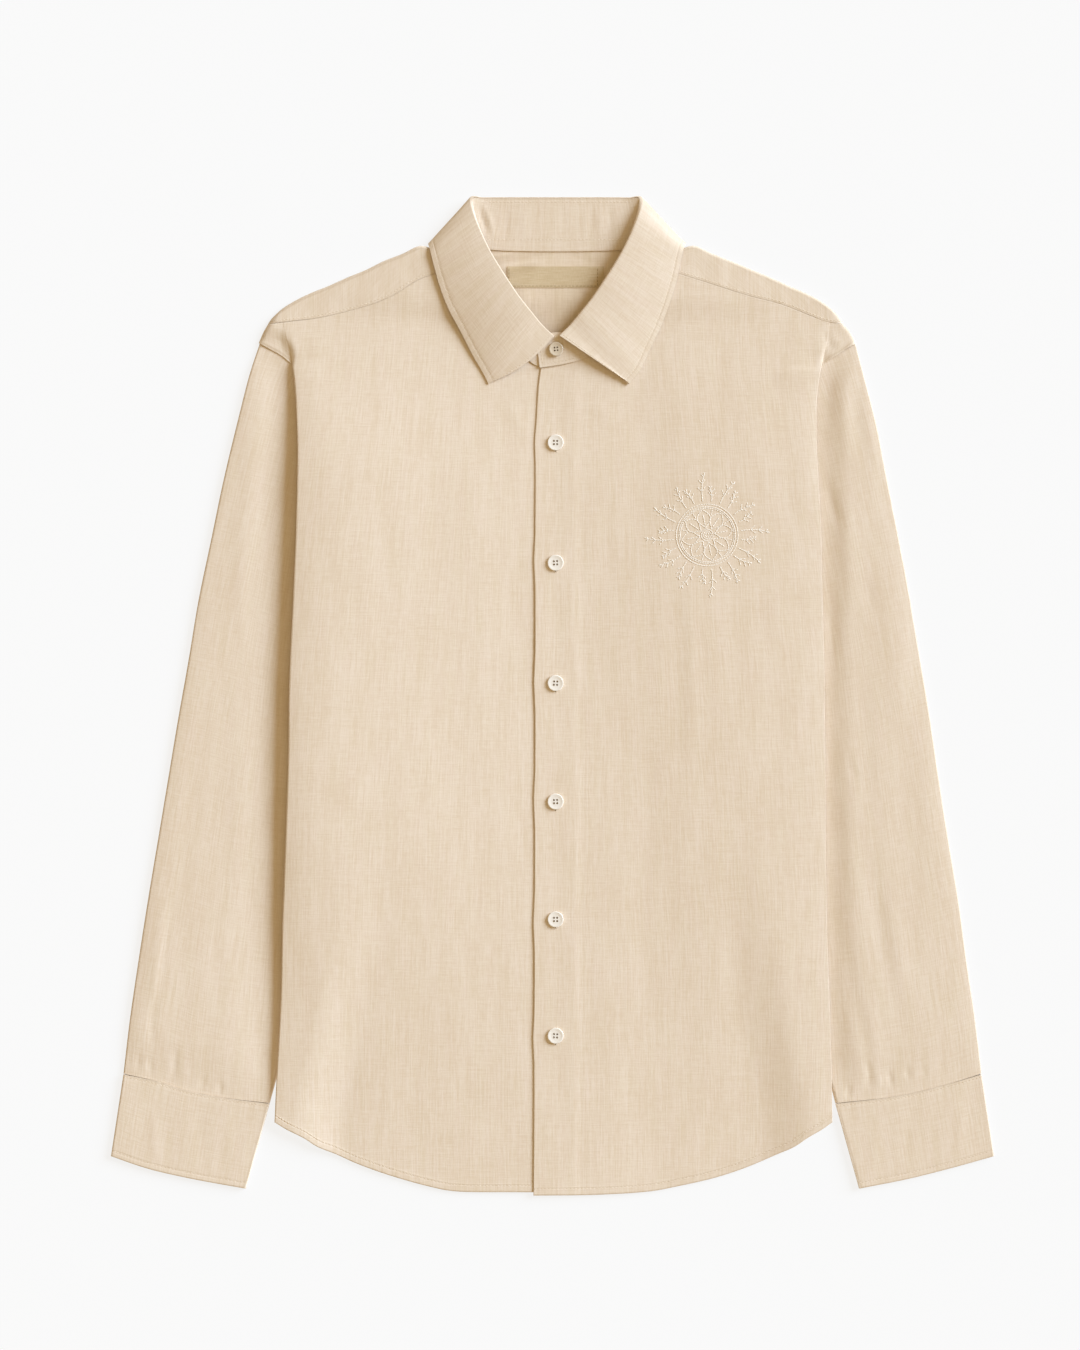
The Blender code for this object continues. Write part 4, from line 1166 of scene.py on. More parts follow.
SLEEVE_CREASES = {
    -1: (
        (((-228, 272), (-236, 200), (-246, 120), (-252, 40)), 9, 0.35),
        (((-247, 210), (-262, 130), (-275, 50)), 8, -0.16),
        (((-238, 60), (-244, -40), (-251, -140)), 11, 0.22),
        (((-283, -20), (-291, -110), (-303, -200)), 7, -0.14),
        (((-310, -166), (-316, -210), (-322, -258)), 3.5, 0.30),
        (((-305, -170), (-311, -214), (-318, -262)), 3.0, -0.18),
        (((-319, -282), (-320, -262), (-318, -240)), 2.4, -0.40),
        (((-339, -298), (-338, -288)), 1.5, -0.40),
        (((-331.5, -300), (-331, -286)), 1.6, -0.6),
        (((-321, -304), (-321.5, -290)), 1.6, -0.45),
        (((-304, -308), (-302, -296), (-301, -282)), 1.8, -0.50),
        (((-281, -315), (-278, -304)), 1.8, -0.45),
        (((-266.5, -320), (-265, -308)), 1.6, -0.6),
        (((-249, -324), (-248, -314)), 1.6, -0.25),
        (((-297, -306), (-292, -296)), 2.2, 0.25),
        (((-243, -120), (-247, -200), (-252, -290)), 9, -0.18),
        (((-279, -190), (-283, -240), (-289, -285)), 8, 0.16),
    ),
    1: (
        (((226, 262), (221, 240), (220.5, 214)), 4.5, -0.45),
        (((238, 258), (232, 238), (233, 214), (237, 180)), 5.0, 0.50),
        (((247, 250), (244, 236), (246, 210), (250, 180)), 4.5, -0.35),
        (((252, 244), (254, 222), (262, 180)), 5, 0.25),
        (((220.5, 170), (224, 150), (229, 134)), 4.0, -0.50),
        (((231, 176), (237, 120), (243, 60)), 6.5, 0.30),
        (((222, 84), (223, 50), (222, 20)), 4.5, -0.45),
        (((250, 90), (253, 78), (254, 68)), 4.0, -0.30),
        (((262, 110), (272, 40), (282, -40)), 9, 0.22),
        (((246, 10), (252, -60), (258, -130)), 7, -0.25),
        (((236, -50), (239.5, -60), (244.5, -70)), 2.4, -0.35),
        (((226, 0), (232, -80), (240, -160)), 7, 0.25),
        (((250, -110), (261, -185), (274, -252)), 8.0, -0.45),
        (((270, -150), (276, -205), (286, -262)), 8.0, 0.30),
        (((230, -180), (240, -232), (253, -296)), 6.5, -0.45),
        (((246, -230), (255, -265), (262, -300)), 5.5, 0.22),
        (((274, -166), (277, -174), (279, -182)), 1.2, -0.16),
        (((281, -172), (284, -180), (285, -190)), 1.1, -0.14),
        (((299, -60), (303, -72), (305, -84)), 1.4, -0.14),
        (((252, -314), (253, -303), (251, -292)), 2.0, -0.6),
        (((236, -322), (237, -312)), 1.5, -0.7),
        (((271, -313), (269, -300)), 1.6, -0.8),
        (((285, -307), (283, -298)), 1.6, -0.6),
        (((297, -305), (296, -296)), 1.6, -0.35),
        (((312, -301), (311, -293)), 1.5, -0.22),
        (((261, -316), (260, -300)), 2.4, 0.35),
    ),
}


print("creases in the sleeves:", {word: len(SLEEVE_CREASES[side]) for side, word in SIDES.items()})

# %% [markdown]
# A tube that is pressed flat has a round edge on both sides and lies on its under layer. Its grid
# runs over the top and then back underneath, and its last column meets the first.

# %% Tubes pressed flat
UNDER_ROUND = 2.2                 # width of the round edges of the under layer


def flat_tube(widths, spots, step, low_step):
    """Shares across a flat tube for each row, over the top and back, and how many are on top."""
    top = spaced(widths, step, spots, (0.0, 0.6, 1.6, 3.0))
    low = spaced(widths, low_step, (0.0, 0.6, 1.6, 3.0), (0.0, 0.6, 1.6))[:, ::-1][:, 1:]
    return np.hstack([top, low]), top.shape[1]


def make_tube(name, side, xy, top, low, top_count, thickness=CLOTH):
    """A tube from the heights of its two layers."""
    upper = np.arange(xy.shape[1]) < top_count
    points = np.dstack([xy, np.where(upper, top, low)])
    points[:, -1] = points[:, 0]
    flat = np.dstack([run_lengths(points, 1), run_lengths(points, 0)])
    return cloth(name, points, flat, LINEN, thickness=thickness, ring=True, flip=side > 0)


print("points across a tube 100 mm wide:", flat_tube([100.0], SLEEVE_SPOTS, SLEEVE_STEP, 9.0)[0].shape[1])


# %% The sleeves
def make_sleeve(name, side):
    outer = Line(list(reversed(side_points(SLEEVE_OUTER, side))))
    inner = Line(side_points(SLEEVE_INNER, side))
    head_points = side_points(ARMHOLE, side)
    head = Line(head_points[:4], head_points[3:])
    wrist_points = moved(side_points(CUFF_SEAM, side), y=0.02)
    wrist_points[0] = tuple(outer.points[0])
    wrist_points[-1] = tuple(inner.points[0])
    wrist = Line(wrist_points)
    v = spaced(580.0, SLEEVE_STEP, CUFF_SPOTS, (0.0, 0.4, 1.0, 2.0))[0]
    widths = np.linalg.norm(inner.at(v) - outer.at(v), axis=1)
    u, top_count = flat_tube(widths, SLEEVE_SPOTS, SLEEVE_STEP, 9.0)
    xy = patch(wrist, head, outer, inner, u, v[:, None])
    out = u * widths[:, None]
    inward = widths[:, None] - out
    edge_y, edge_x = zip(*sorted((y, x) for x, y in side_points(BODY_EDGE, side)))
    clear = (xy[..., 0] - np.interp(xy[..., 1], edge_y, edge_x)) * side
    head_distance = away(xy, head, u)
    full = mix(SLEEVE_DIP, SLEEVE_CREST, ease((clear + 2.0) / DIP_REACH[side]))
    full = mix(SLEEVE_THICK - 0.1, full, ease(away(xy, wrist, u) / 40.0))
    full = mix(SLEEVE_HEAD, full, ease(head_distance / 24.0))
    middle = SLEEVE_THICK / 2
    tight = rounded(out, SLEEVE_EDGE)
    round_out = mix(0.75 * tight, tight, 1 - (1 - np.clip(out / SLEEVE_SOFT, 0, 1)) ** 3)
    top = middle + (full - middle) * round_out * rounded(inward, 2.0)
    uneven = creased(xy, SLEEVE_CREASES[side])
    uneven += waves(xy, 60.0, 260.0, 0.14, 30 + side) + waves(xy, 20.0, 90.0, 0.035, 40 + side)
    top += uneven * ease(out / 8.0) * ease(inward / 4.0)
    top = mix(np.minimum(top, ARMHOLE_LOW), top, fade(head_distance, 0.2, 1.2))
    low = middle * (1 - rounded(out, UNDER_ROUND) * rounded(inward, UNDER_ROUND))
    return make_tube(name, side, xy, top, low, top_count)


for side, word in SIDES.items():
    make_sleeve(f"sleeve_{word}_cloth", side)

# %% [markdown]
# ## Yoke
# The yoke is one piece from under the back of the neck over both shoulders to the front seams. It is
# made as one large grid under and behind, and two strips in front, welded along the shoulders.

# %% Measures and creases of the yoke
YOKE_ROUND = 2.6                  # width of the fold along the shoulders
SHOULDER_RISE = 2.5               # how high that fold goes
SHOULDER_ANGLES = np.radians((30, 60, 90, 120, 150, 180))
NECK_UNDER = 1.6                  # the yoke reaches under the stand behind the neck
NECK_BUCKLE = 1.7                 # how much deeper its creases are behind the neck
YOKE_SPOTS = (0.0, 0.8)           # finer steps at both ends of a shoulder
# Line of the yoke's rear seam, under the shirt
YOKE_LOW = ((-231.5, 282.5), (-224.5, 277.6), (-212, BACK_SEAM_Y), (221, BACK_SEAM_Y), (232.5, 277.6),
            (239.5, 282.5))

YOKE_CREASES = (
    (((-50, 262), (-30, 300), (-10, 348)), 5, 0.25),
    (((-34, 258), (-18, 290), (0, 322)), 4, -0.18),
    (((-66, 335), (-42, 344), (-8, 351)), 2.0, -0.42),
    (((-62, 329), (-38, 339), (-4, 346)), 2.2, 0.34),
    (((-56, 323), (-36, 333), (-12, 340)), 2.2, -0.32),
    (((-66, 342), (-48, 349), (-24, 353)), 1.6, 0.30),
    (((10, 350), (28, 347), (44, 341)), 2.4, -0.16),
    (((50, 350), (46, 335), (44, 318)), 4, 0.20),
    (((30, 300), (24, 285), (18, 268)), 4, -0.18),
    (((-203, 304), (-204, 298), (-206, 292)), 1.2, -0.2),
    (((-176, 322), (-160, 318), (-146, 322)), 5, 0.25),
    (((190, 316), (178, 312), (166, 314)), 5, 0.2),
    (((-120, 346), (-112, 336), (-106, 334)), 5, -0.25),
    (((128, 346), (120, 338), (112, 334)), 5, -0.25),
)


def yoke_inside(xy):
    """Face of the yoke behind the neck, where it buckles a little under the label."""
    bulge = creased(xy, YOKE_CREASES) + waves(xy, 60.0, 80.0, 0.12, 71)
    inside = 1 - fade(abs(xy[..., 0] - MIDDLE_X), 50.0, 66.0)
    return base(xy[..., 0], xy[..., 1]) + (0.6 + NECK_BUCKLE * bulge) * inside


print("creases in the yoke:", len(YOKE_CREASES))


# %% Front strips of the yoke
def unit(vectors):
    """Vectors of length 1, one to a row."""
    return vectors / np.linalg.norm(vectors, axis=-1, keepdims=True)


def yoke_strip(side, edge, inner, up, seam):
    """Grid and flat pattern of a shoulder's front strip: round the fold from the back part's edge
    inner to edge, and on to the seam. up is the way across the shoulder."""
    rise = base(edge[:, 0], edge[:, 1])
    down = unit(seam - edge)
    turn = []
    for a in SHOULDER_ANGLES:
        way = -up if a < math.pi / 2 else down
        spot = edge + way * YOKE_ROUND * (1 - math.sin(a))
        turn.append(np.column_stack([spot, rise + SHOULDER_RISE * (1 - math.cos(a))]))
    start = edge + down * YOKE_ROUND
    lengths = np.linalg.norm(seam - start, axis=1)
    g = spaced(lengths, 2.8, (0.0, 1.0), SEAM_SPOTS)[:, 1:]
    strip = start[:, None] + (seam - start)[:, None] * g[..., None]
    seam_distance = (1 - g) * lengths[:, None]
    height = mix(rise[:, None] + 2 * SHOULDER_RISE, front_top(strip[..., 0], strip[..., 1]), ease(g * 3))
    height += (creased(strip, YOKE_CREASES) + waves(strip, 40.0, 40.0, 0.12, 72)) * ease(seam_distance / 4)
    height -= SEAM_SINK * (1 - ease(seam_distance / 0.8))
    first = np.column_stack([inner, rise])[:, None]
    points = np.concatenate([first, np.stack(turn, axis=1), np.dstack([strip, height])], axis=1)
    end = 0 if side < 0 else -1
    across = unit(seam[end] - edge[end])
    gap = points[..., :2] - edge[end]
    tip_distance = abs(gap[..., 0] * across[1] - gap[..., 1] * across[0])
    drop = mix(TIP_LOW, points[..., 2], rounded(tip_distance, TIP_ROUND))
    points[:, 1:, 2] = np.minimum(points[:, 1:, 2], drop[:, 1:])
    return points, np.dstack([points[..., 0], inner[:, 1:2] + run_lengths(points, 1)])


print("points round the shoulder fold:", len(SHOULDER_ANGLES))


# %% The yoke
def make_yoke():
    shoulders = {side: Line(side_points(SHOULDER, side)[::-1]) for side in SIDES}
    ends = [tuple(shoulders[side].points[-1]) for side in SIDES]
    back_neck = mirror_points(BACK_NECKLINE, -1)[1:]
    back_neck += [(2 * MIDDLE_X - x, y) for x, y in reversed(back_neck[:-1])]
    neck = Line([ends[0]] + back_neck + [ends[1]])
    along = spaced(170.0, 3.2, YOKE_SPOTS, YOKE_SPOTS)[0]
    neck_along = spaced(neck.length, 1.8)[0][1:-1]
    over = np.vstack([shoulders[-1].at(along), neck.at(neck_along), shoulders[1].at(along)[::-1]])
    under = Line(YOKE_LOW, curved=False).at(np.linspace(0, 1, len(over)))
    up = unit(over - under)
    place, count = np.arange(len(over)), len(along)
    from_ends = np.minimum(place, len(over) - 1 - place) - count
    near = over - up * mix(YOKE_ROUND, -NECK_UNDER, ease(from_ends / 5.0))[:, None]
    f = spaced(72.0, 1.6)[0][:, None]
    below = under[:, None] * (1 - f) + near[:, None] * f
    grids = [(np.dstack([below, yoke_inside(below)]), below)]
    for side in SIDES:
        keep = slice(0, count) if side < 0 else slice(-count, None)
        seam = Line(side_points(YOKE_SEAM, side)).at(along)
        grids.append(yoke_strip(side, over[keep], near[keep], up[keep], seam[::-side]))
    mesh = mesh_from("yoke_cloth", grids, False)
    # the part behind the neck takes the darker copy of the linen: painted shade of the collar over it
    return finish_cloth("yoke_cloth", mesh, LINEN_PAINTED_SHADE, CLOTH, -1.0, True, second=LINEN)


make_yoke()

# %% [markdown]
# ## Cuffs
# The cuffs are stiff bands, pressed flat and open at the wrist: two more flat tubes. Stitches run
# beside the lower edge and beside the seam, and each line of them pulls a faint groove.

# %% Measures and creases of the cuffs
CUFF_THICK = 4.2
CUFF_ROUND = 0.9
CUFF_STITCH = 4.6                 # from the lower edge
CUFF_SEAM_STITCH = 2.0            # from the seam
CUFF_STEP = 2.4
CUFF_OUT_SPOTS = (0.0, 0.1, 0.3, 0.7, 1.3, 2.2, 3.4)
CUFF_END_SPOTS = (0.0, 0.12, 0.35, 0.7, 1.4, 2.4, 3.6, 4.2, 4.6, 5.0, 5.8)
CUFF_SEAM_SPOTS = (0.0, 0.2, 0.5, 1.0, 1.6, 2.0, 2.4, 3.0)

CUFF_CREASES = {
    -1: (
        (((-322, -330), (-318, -350), (-316, -376)), 3, 0.15),
        (((-285, -326), (-282, -345), (-279, -385)), 4, -0.14),
        (((-262, -330), (-258, -356), (-256, -388)), 3.5, 0.12),
    ),
    1: (
        (((330, -322), (326, -344), (324, -370)), 3, 0.15),
        (((290, -326), (284, -350), (280, -380)), 4, -0.14),
        (((262, -330), (258, -356), (256, -388)), 3.5, 0.12),
    ),
}


print("cuff, mm thick:", CUFF_THICK)


# %% The cuffs
def make_cuff(name, side):
    seam, end = Line(side_points(CUFF_SEAM, side)), Line(side_points(CUFF_END, side))
    width = float(np.linalg.norm(end.points[-1] - end.points[0]))
    u, top_count = flat_tube([width], CUFF_OUT_SPOTS, CUFF_STEP, 6.0)
    v = spaced(62.0, CUFF_STEP, CUFF_END_SPOTS, CUFF_SEAM_SPOTS).T
    xy = mix(end.at(u), seam.at(u), v[..., None])
    from_side = np.minimum(u, 1 - u) * width
    end_distance, seam_distance = away(xy, end, u), away(xy, seam, u)
    middle = CUFF_THICK / 2
    top = middle + (CUFF_THICK - middle) * rounded(from_side, CUFF_ROUND)
    top = top + creased(xy, CUFF_CREASES[side]) + waves(xy, 30.0, 60.0, 0.10, 50 + side)
    top -= STITCH_SINK * groove(end_distance, CUFF_STITCH, 0.5)
    top -= 0.7 * STITCH_SINK * groove(seam_distance, CUFF_SEAM_STITCH, 0.5)
    top -= rolled(end_distance, 0.7) + 0.08 * (1 - ease(seam_distance / 0.5))
    low = middle * (1 - rounded(from_side, UNDER_ROUND))
    return make_tube(name, side, xy, top, low, top_count, STIFF_CLOTH)


for side, word in SIDES.items():
    make_cuff(f"cuff_{word}_cloth", side)

# %% [markdown]
# ## Collar
# The stand goes round the neck on its edge and lies down in front. The leaf turns over its upper
# edge, on top in front and underneath behind. Both are swept: a row of points across the collar
# runs along it from one end to the other, on one smooth line through the table's rows.

# %% Rows of the collar
TURN_RADIUS = 1.1                 # of the leaf's roll
ROLL_GAP = 1.55                   # between the stand's upper edge and the leaf
ROLL_FLAT = 0.3                   # how flat the roll is pressed
TURN_UNIT = 10.0                  # degrees: counted in tens, a turn adds little to the line's length
LAP_LIFT = (1.6, 0.5)             # the stand's two edges lie this much higher where it laps over
LAP_LIFT_Y = (310.0, 20.0)        # below this, over this height


def collar_half(side):
    """Upper edge, lower edge, leaf edge and way of turning, from the middle of the back to the front."""
    half = []
    for row, edge in zip(COLLAR, LEAF_EDGE):
        upper = [MIDDLE_X + side * row[0], row[1], row[2]]
        lower = [MIDDLE_X + side * row[3], row[4], row[5]]
        if side > 0:
            share = float(np.clip((LAP_LIFT_Y[0] - row[1]) / LAP_LIFT_Y[1], 0, 1))
            upper[2] += LAP_LIFT[0] * share
            lower[2] += LAP_LIFT[1] * share
        leaf_y, leaf_out = edge[1:3] if side < 0 else edge[3:5]
        half.append(upper + lower + [MIDDLE_X + side * leaf_out, leaf_y, edge[0], row[6] / TURN_UNIT])
    return half


def collar_line(columns, first, last):
    """Some columns of the collar's rows as one smooth line, with more rows given for its two ends."""
    rows = collar_half(-1)[::-1] + collar_half(1)[1:]
    return Line(first + [row[:columns] for row in rows] + last)


print("collar, mm round its lower edge:", round(Line([row[3:5] for row in COLLAR]).length * 2))

# %% Collar stand
STAND_STEP = 2.4
STAND_END_SPOTS = (0.0, 0.2, 0.6, 1.2)
STAND_LOW_SPOTS = (0.0, 0.4, 1.0, 1.6, 2.0, 2.4)
STAND_TOP_SPOTS = (0.0, 0.5, 1.5, 2.6, 3.0, 3.4)

STAND_CREASES = (
    (((-60, 391), (-56, 380), (-51.5, 367)), 1.9, -0.8),
    (((-54.5, 390), (-51, 380), (-47, 368)), 2.0, 0.5),
    (((-38, 392), (-37, 380), (-38.5, 362)), 2.2, -0.22),
    (((-22, 390), (-23, 376), (-22, 364)), 3.0, 0.15),
    (((8, 391), (9, 378), (8, 362)), 3.0, -0.14),
    (((30, 391), (31, 378), (30, 362)), 2.4, -0.22),
    (((46, 391), (46, 380), (45, 364)), 2.2, -0.25),
    (((39, 390), (38, 378), (39, 366)), 2.5, 0.15),
)


def make_stand():
    first = [list(upper + lower) for upper, lower in reversed(UNDER_END)]
    last = [list(upper + lower) for upper, lower in OVER_END]
    line = collar_line(6, first, last)
    rows = line.at(spaced(line.length, STAND_STEP, STAND_END_SPOTS, STAND_END_SPOTS)[0])
    upper, lower = rows[:, 0:3], rows[:, 3:6]
    upper = upper + unit(upper - lower) * (ROLL_GAP - 0.1)
    f = spaced(33.0, 2.2, STAND_LOW_SPOTS, STAND_TOP_SPOTS)[0]
    points = lower[:, None] + (upper - lower)[:, None] * f[:, None]
    behind = fade(points[..., 1], 355.0, 361.0) * (1 - fade(points[..., 1], 390.0, 396.0))
    points[..., 2] += creased(points[..., :2], STAND_CREASES) * behind
    flat = np.dstack([run_lengths(points, 0)[:, :1].repeat(len(f), 1), run_lengths(points, 1)])
    return cloth("collar_stand_cloth", points, flat, LINEN, thickness=STIFF_CLOTH, offset=0.0)


make_stand()

# %% Collar leaf
LEAF_STITCH = 4.4                 # from the leaf's edge
LEAF_FRONT_SPOTS = (0.0, 0.4, 1.0, 2.2, 3.6, 4.4, 5.2)
LEAF_EDGE_SPOTS = (0.0, 0.15, 0.4, 0.8, 1.6, 2.6, 3.4, 3.9, 4.4, 4.9, 5.6)
EDGE_ROW = LEAF_FRONT_SPOTS.index(LEAF_STITCH)              # the stitches' row and column in the grid
EDGE_COLUMN = -1 - LEAF_EDGE_SPOTS.index(LEAF_STITCH)
LEAF_BOW = 4.6                    # the leaf's front edge on the left of the picture bows out
BOW_WAY = np.array([0.62, -0.78])
OUTWARD = (0.77, 0.64)            # the way out from the neck, sideways and to the back
ROLL_ANGLES = np.radians(np.arange(0, 181, 15))
SEWN_LINES = []


def leaf_roll(upper, lower, turn):
    """Rows of points round the leaf's roll over the stand's upper edge."""
    side = np.clip((upper[:, 0] - MIDDLE_X) / 12.0, -1, 1)
    rise = unit(upper - lower)
    outward = np.column_stack([OUTWARD[0] * side, np.full_like(side, OUTWARD[1]), np.zeros_like(side)])
    over = outward * np.cos(turn) + np.array([0, 0, 1.0]) * np.sin(turn)
    over = unit(over - rise * (over * rise).sum(1, keepdims=True))
    centre = upper + rise * ROLL_GAP + over * TURN_RADIUS
    return np.stack([centre + TURN_RADIUS * (ROLL_FLAT * rise * math.sin(a) - over * math.cos(a))
                     for a in ROLL_ANGLES], axis=1)


def make_leaf():
    first, last = [[[value for point in tip for value in point] + [90 / TURN_UNIT]] for tip in LEAF_TIPS]
    line = collar_line(10, first, last)
    t = spaced(line.length, STAND_STEP, LEAF_FRONT_SPOTS, LEAF_FRONT_SPOTS)[0]
    rows = line.at(t)
    leaf, turn = rows[:, 6:9], np.radians(rows[:, 9:] * TURN_UNIT)
    roll = leaf_roll(rows[:, 0:3], rows[:, 3:6], turn)
    end = roll[:, -1]
    lengths = np.linalg.norm(leaf - end, axis=1)
    f = spaced(lengths, 2.2, (0.0, 1.0), LEAF_EDGE_SPOTS)[:, 1:]
    run = end[:, None] + (leaf - end)[:, None] * f[..., None]
    run[..., 2] = leaf[:, None, 2] + (end[:, None, 2] - leaf[:, None, 2]) * (1 - f**1.7)
    from_edge = (1 - f) * lengths[:, None]
    run[..., 2] -= STITCH_SINK * groove(from_edge, LEAF_STITCH, 0.5) * np.sign(np.sin(turn))
    bow = groove(t * line.length, 0.0, 16.0)[:, None] * np.sin(np.pi * np.clip(f, 0, 1)) * LEAF_BOW
    run[..., :2] += bow[..., None] * BOW_WAY
    points = np.concatenate([roll, run], axis=1)
    flat = np.dstack([run_lengths(points, 0)[:, -1:].repeat(points.shape[1], 1), run_lengths(points, 1)])
    on_top = np.degrees(turn[:, 0]) > 60
    for way in (1, -1):
        rows, last_row = points[::way], int(np.argmin(on_top[::way]))
        front_edge = rows[EDGE_ROW, len(ROLL_ANGLES):EDGE_COLUMN + 1, :2]
        SEWN_LINES.append(np.vstack([front_edge, rows[EDGE_ROW + 1:last_row, EDGE_COLUMN, :2]]))
    return cloth("collar_leaf_cloth", points, flat, LINEN, thickness=STIFF_CLOTH, offset=0.0, flip=True)


make_leaf()

# %% [markdown]
# ## Neck label
# A plain woven label is sewn to the inside of the yoke, and one of its ends is folded under. It
# could be a flat box, but the yoke buckles a little there. So it is a small grid that takes the
# yoke's height, with a faint ridge at the fold.

# %% Neck label
LABEL_X = (-36.0, 41.0)
LABEL_Y = (325.5, 342.5)
LABEL_THICK = 0.4
LABEL_FOLD_X = 36.5               # the folded end stands up a little here


def make_label():
    x, y = np.meshgrid(np.linspace(*LABEL_X, 40), np.linspace(*LABEL_Y, 12))
    xy = np.dstack([x, y])
    z = yoke_inside(xy) + CLOTH + 0.5 + 0.3 * groove(x, LABEL_FOLD_X, 1.2)
    return cloth("neck_label_cloth", np.dstack([xy, z]), xy, RIBBON, thickness=LABEL_THICK)


make_label()

# %% [markdown]
# ## Buttons
# One button is turned: a flat disc with a soft raised rim and four thread holes. It starts as a
# short cylinder, whose top is inset and pushed down for the dish, and thin cylinders cut the holes.
# All seven are copies of it, and the stand's is a little smaller and has shade painted into its colour, for
# the collar leaf that shades it.

# %% One turned button
BUTTON_RADIUS = 6.35
BUTTON_THICK = 1.7
BUTTON_SINK = 0.28                # depth of its dish
RIM = 0.14                        # width of the rim and of its slope, as a share of the radius
DISH = 0.25                       # width of the step inside the dish, likewise
HOLES = 4
HOLE_RADIUS = 0.82
HOLE_OUT = 1.85


def turn_button(name, radius):
    """A button at the origin, its underside at height 0."""
    bpy.ops.object.select_all(action="DESELECT")
    bpy.ops.mesh.primitive_cylinder_add(vertices=48, radius=radius * MM, depth=BUTTON_THICK * MM,
                                        location=(0, 0, BUTTON_THICK * MM / 2))
    made = bpy.context.active_object
    made.name = name
    bpy.ops.object.transform_apply(location=True)
    bpy.ops.object.mode_set(mode="EDIT")
    bpy.ops.mesh.select_mode(type="FACE")
    bpy.ops.mesh.select_all(action="DESELECT")
    shape = bmesh.from_edit_mesh(made.data)
    for face in shape.faces:
        face.select = face.normal.z > 0.9
    bmesh.update_edit_mesh(made.data)
    bpy.ops.mesh.inset(thickness=radius * RIM * MM)
    bpy.ops.mesh.inset(thickness=radius * RIM * MM)
    bpy.ops.transform.translate(value=(0, 0, -BUTTON_SINK * MM))
    bpy.ops.mesh.inset(thickness=radius * DISH * MM)
    bpy.ops.object.mode_set(mode="OBJECT")
    soft = made.modifiers.new("soft_edges", "BEVEL")
    soft.width = 0.4 * MM
    soft.segments = 3
    soft.limit_method = "ANGLE"
    soft.angle_limit = math.radians(20)
    bpy.ops.object.modifier_apply(modifier=soft.name)
    for k in range(HOLES):
        a = math.radians(45) + 2 * math.pi * k / HOLES
        bpy.ops.mesh.primitive_cylinder_add(
            vertices=20, radius=HOLE_RADIUS * MM, depth=BUTTON_THICK * 3 * MM,
            location=(HOLE_OUT * math.cos(a) * MM, HOLE_OUT * math.sin(a) * MM, BUTTON_THICK * MM / 2))
        drill = bpy.context.active_object
        one_selected(made)
        hole = made.modifiers.new("hole", "BOOLEAN")
        hole.operation = "DIFFERENCE"
        hole.solver = "EXACT"
        hole.object = drill
        bpy.ops.object.modifier_apply(modifier=hole.name)
        bpy.data.objects.remove(drill, do_unlink=True)
    bpy.ops.object.shade_smooth_by_angle(angle=math.radians(SHARP["resin"]))
    return made


FIRST_BUTTON = turn_button("turned_button", BUTTON_RADIUS)
print("turned button, triangles:", triangles(FIRST_BUTTON.data))

# %% Copies of it in their places
STAND_BUTTON = (2.8, 276.0, 8.7)
STAND_BUTTON_RADIUS = 5.6


def cloth_height(x, y):
    """Upper face of the buttoned front at a point, in mm."""
    hit, spot, _normal, _index = PIECES["front_left_cloth"].ray_cast((x * MM, y * MM, 1.0), (0, 0, -1))
    return spot.z / MM if hit else 8.0


def place_button(name, place, turn, finish, scale=1.0):
    """A copy of the turned button, with its own mesh, moved into place."""
    one_selected(FIRST_BUTTON)
    bpy.ops.object.duplicate()
    made = bpy.context.active_object
    made.name = name
    made.scale = (scale, scale, 1.0)
    made.rotation_euler = (0, 0, turn)
    made.location = [value * MM for value in place]
    bpy.ops.object.transform_apply(location=True, rotation=True, scale=True)
    made.data.materials.append(finish)
    PIECES[name] = made
    print(name, "at height", round(place[2], 2))


for i, y in enumerate(BUTTON_Y):
    place = (BUTTON_X, y, cloth_height(BUTTON_X, y) + 0.2)
    place_button(f"front_button_{i + 1}", place, math.radians(3 * math.sin(i * 2.3)), BUTTON_RESIN)
# the stand button takes the darker resin: painted shade of the collar leaf
place_button("stand_button", STAND_BUTTON, 0.1, RESIN_PAINTED_SHADE, STAND_BUTTON_RADIUS / BUTTON_RADIUS)
bpy.data.objects.remove(FIRST_BUTTON, do_unlink=True)

# %% [markdown]
# ## Sewing
# Linen is sewn with thread a little lighter than itself. A stitch is a short grain of thread, sunk
# half into the cloth. One is shaped, and then laid along each seam at its own pitch, as a machine
# does. Where it lies is found by looking down on the cloth.

# %% A stitch
STITCH = (2.3, 0.5, 0.4)          # length, width and height
STITCH_PITCH = 2.9


def shape_stitch():
    """Points and faces of a grain of thread, 2 long, wide and high, along X."""
    bpy.ops.object.select_all(action="DESELECT")
    bpy.ops.mesh.primitive_uv_sphere_add(segments=6, ring_count=5, radius=1.0, rotation=(0, math.pi / 2, 0))
    made = bpy.context.active_object
    bpy.ops.object.transform_apply(location=True, rotation=True, scale=True)
    points = np.array([v.co[:] for v in made.data.vertices])
    points[:, 0] = np.sign(points[:, 0]) * abs(points[:, 0]) ** 0.6   # blunt ends
    faces = [tuple(f.vertices) for f in made.data.polygons]
    bpy.data.objects.remove(made, do_unlink=True)
    return points, faces


GRAIN, GRAIN_FACES = shape_stitch()
print("points in a stitch:", len(GRAIN))

# %% A way to lay stitches
SURFACES = {}                     # the pieces that have been looked down on


def surface_at(piece, x, y):
    """Highest point of a piece at a place, and the way its surface faces there."""
    if piece not in SURFACES:
        mesh = PIECES[piece].data
        SURFACES[piece] = BVHTree.FromPolygons([v.co for v in mesh.vertices],
                                               [f.vertices for f in mesh.polygons])
    spot, normal, _face, _gone = SURFACES[piece].ray_cast(Vector((x * MM, y * MM, 1.0)), Vector((0, 0, -1)))
    return spot, normal


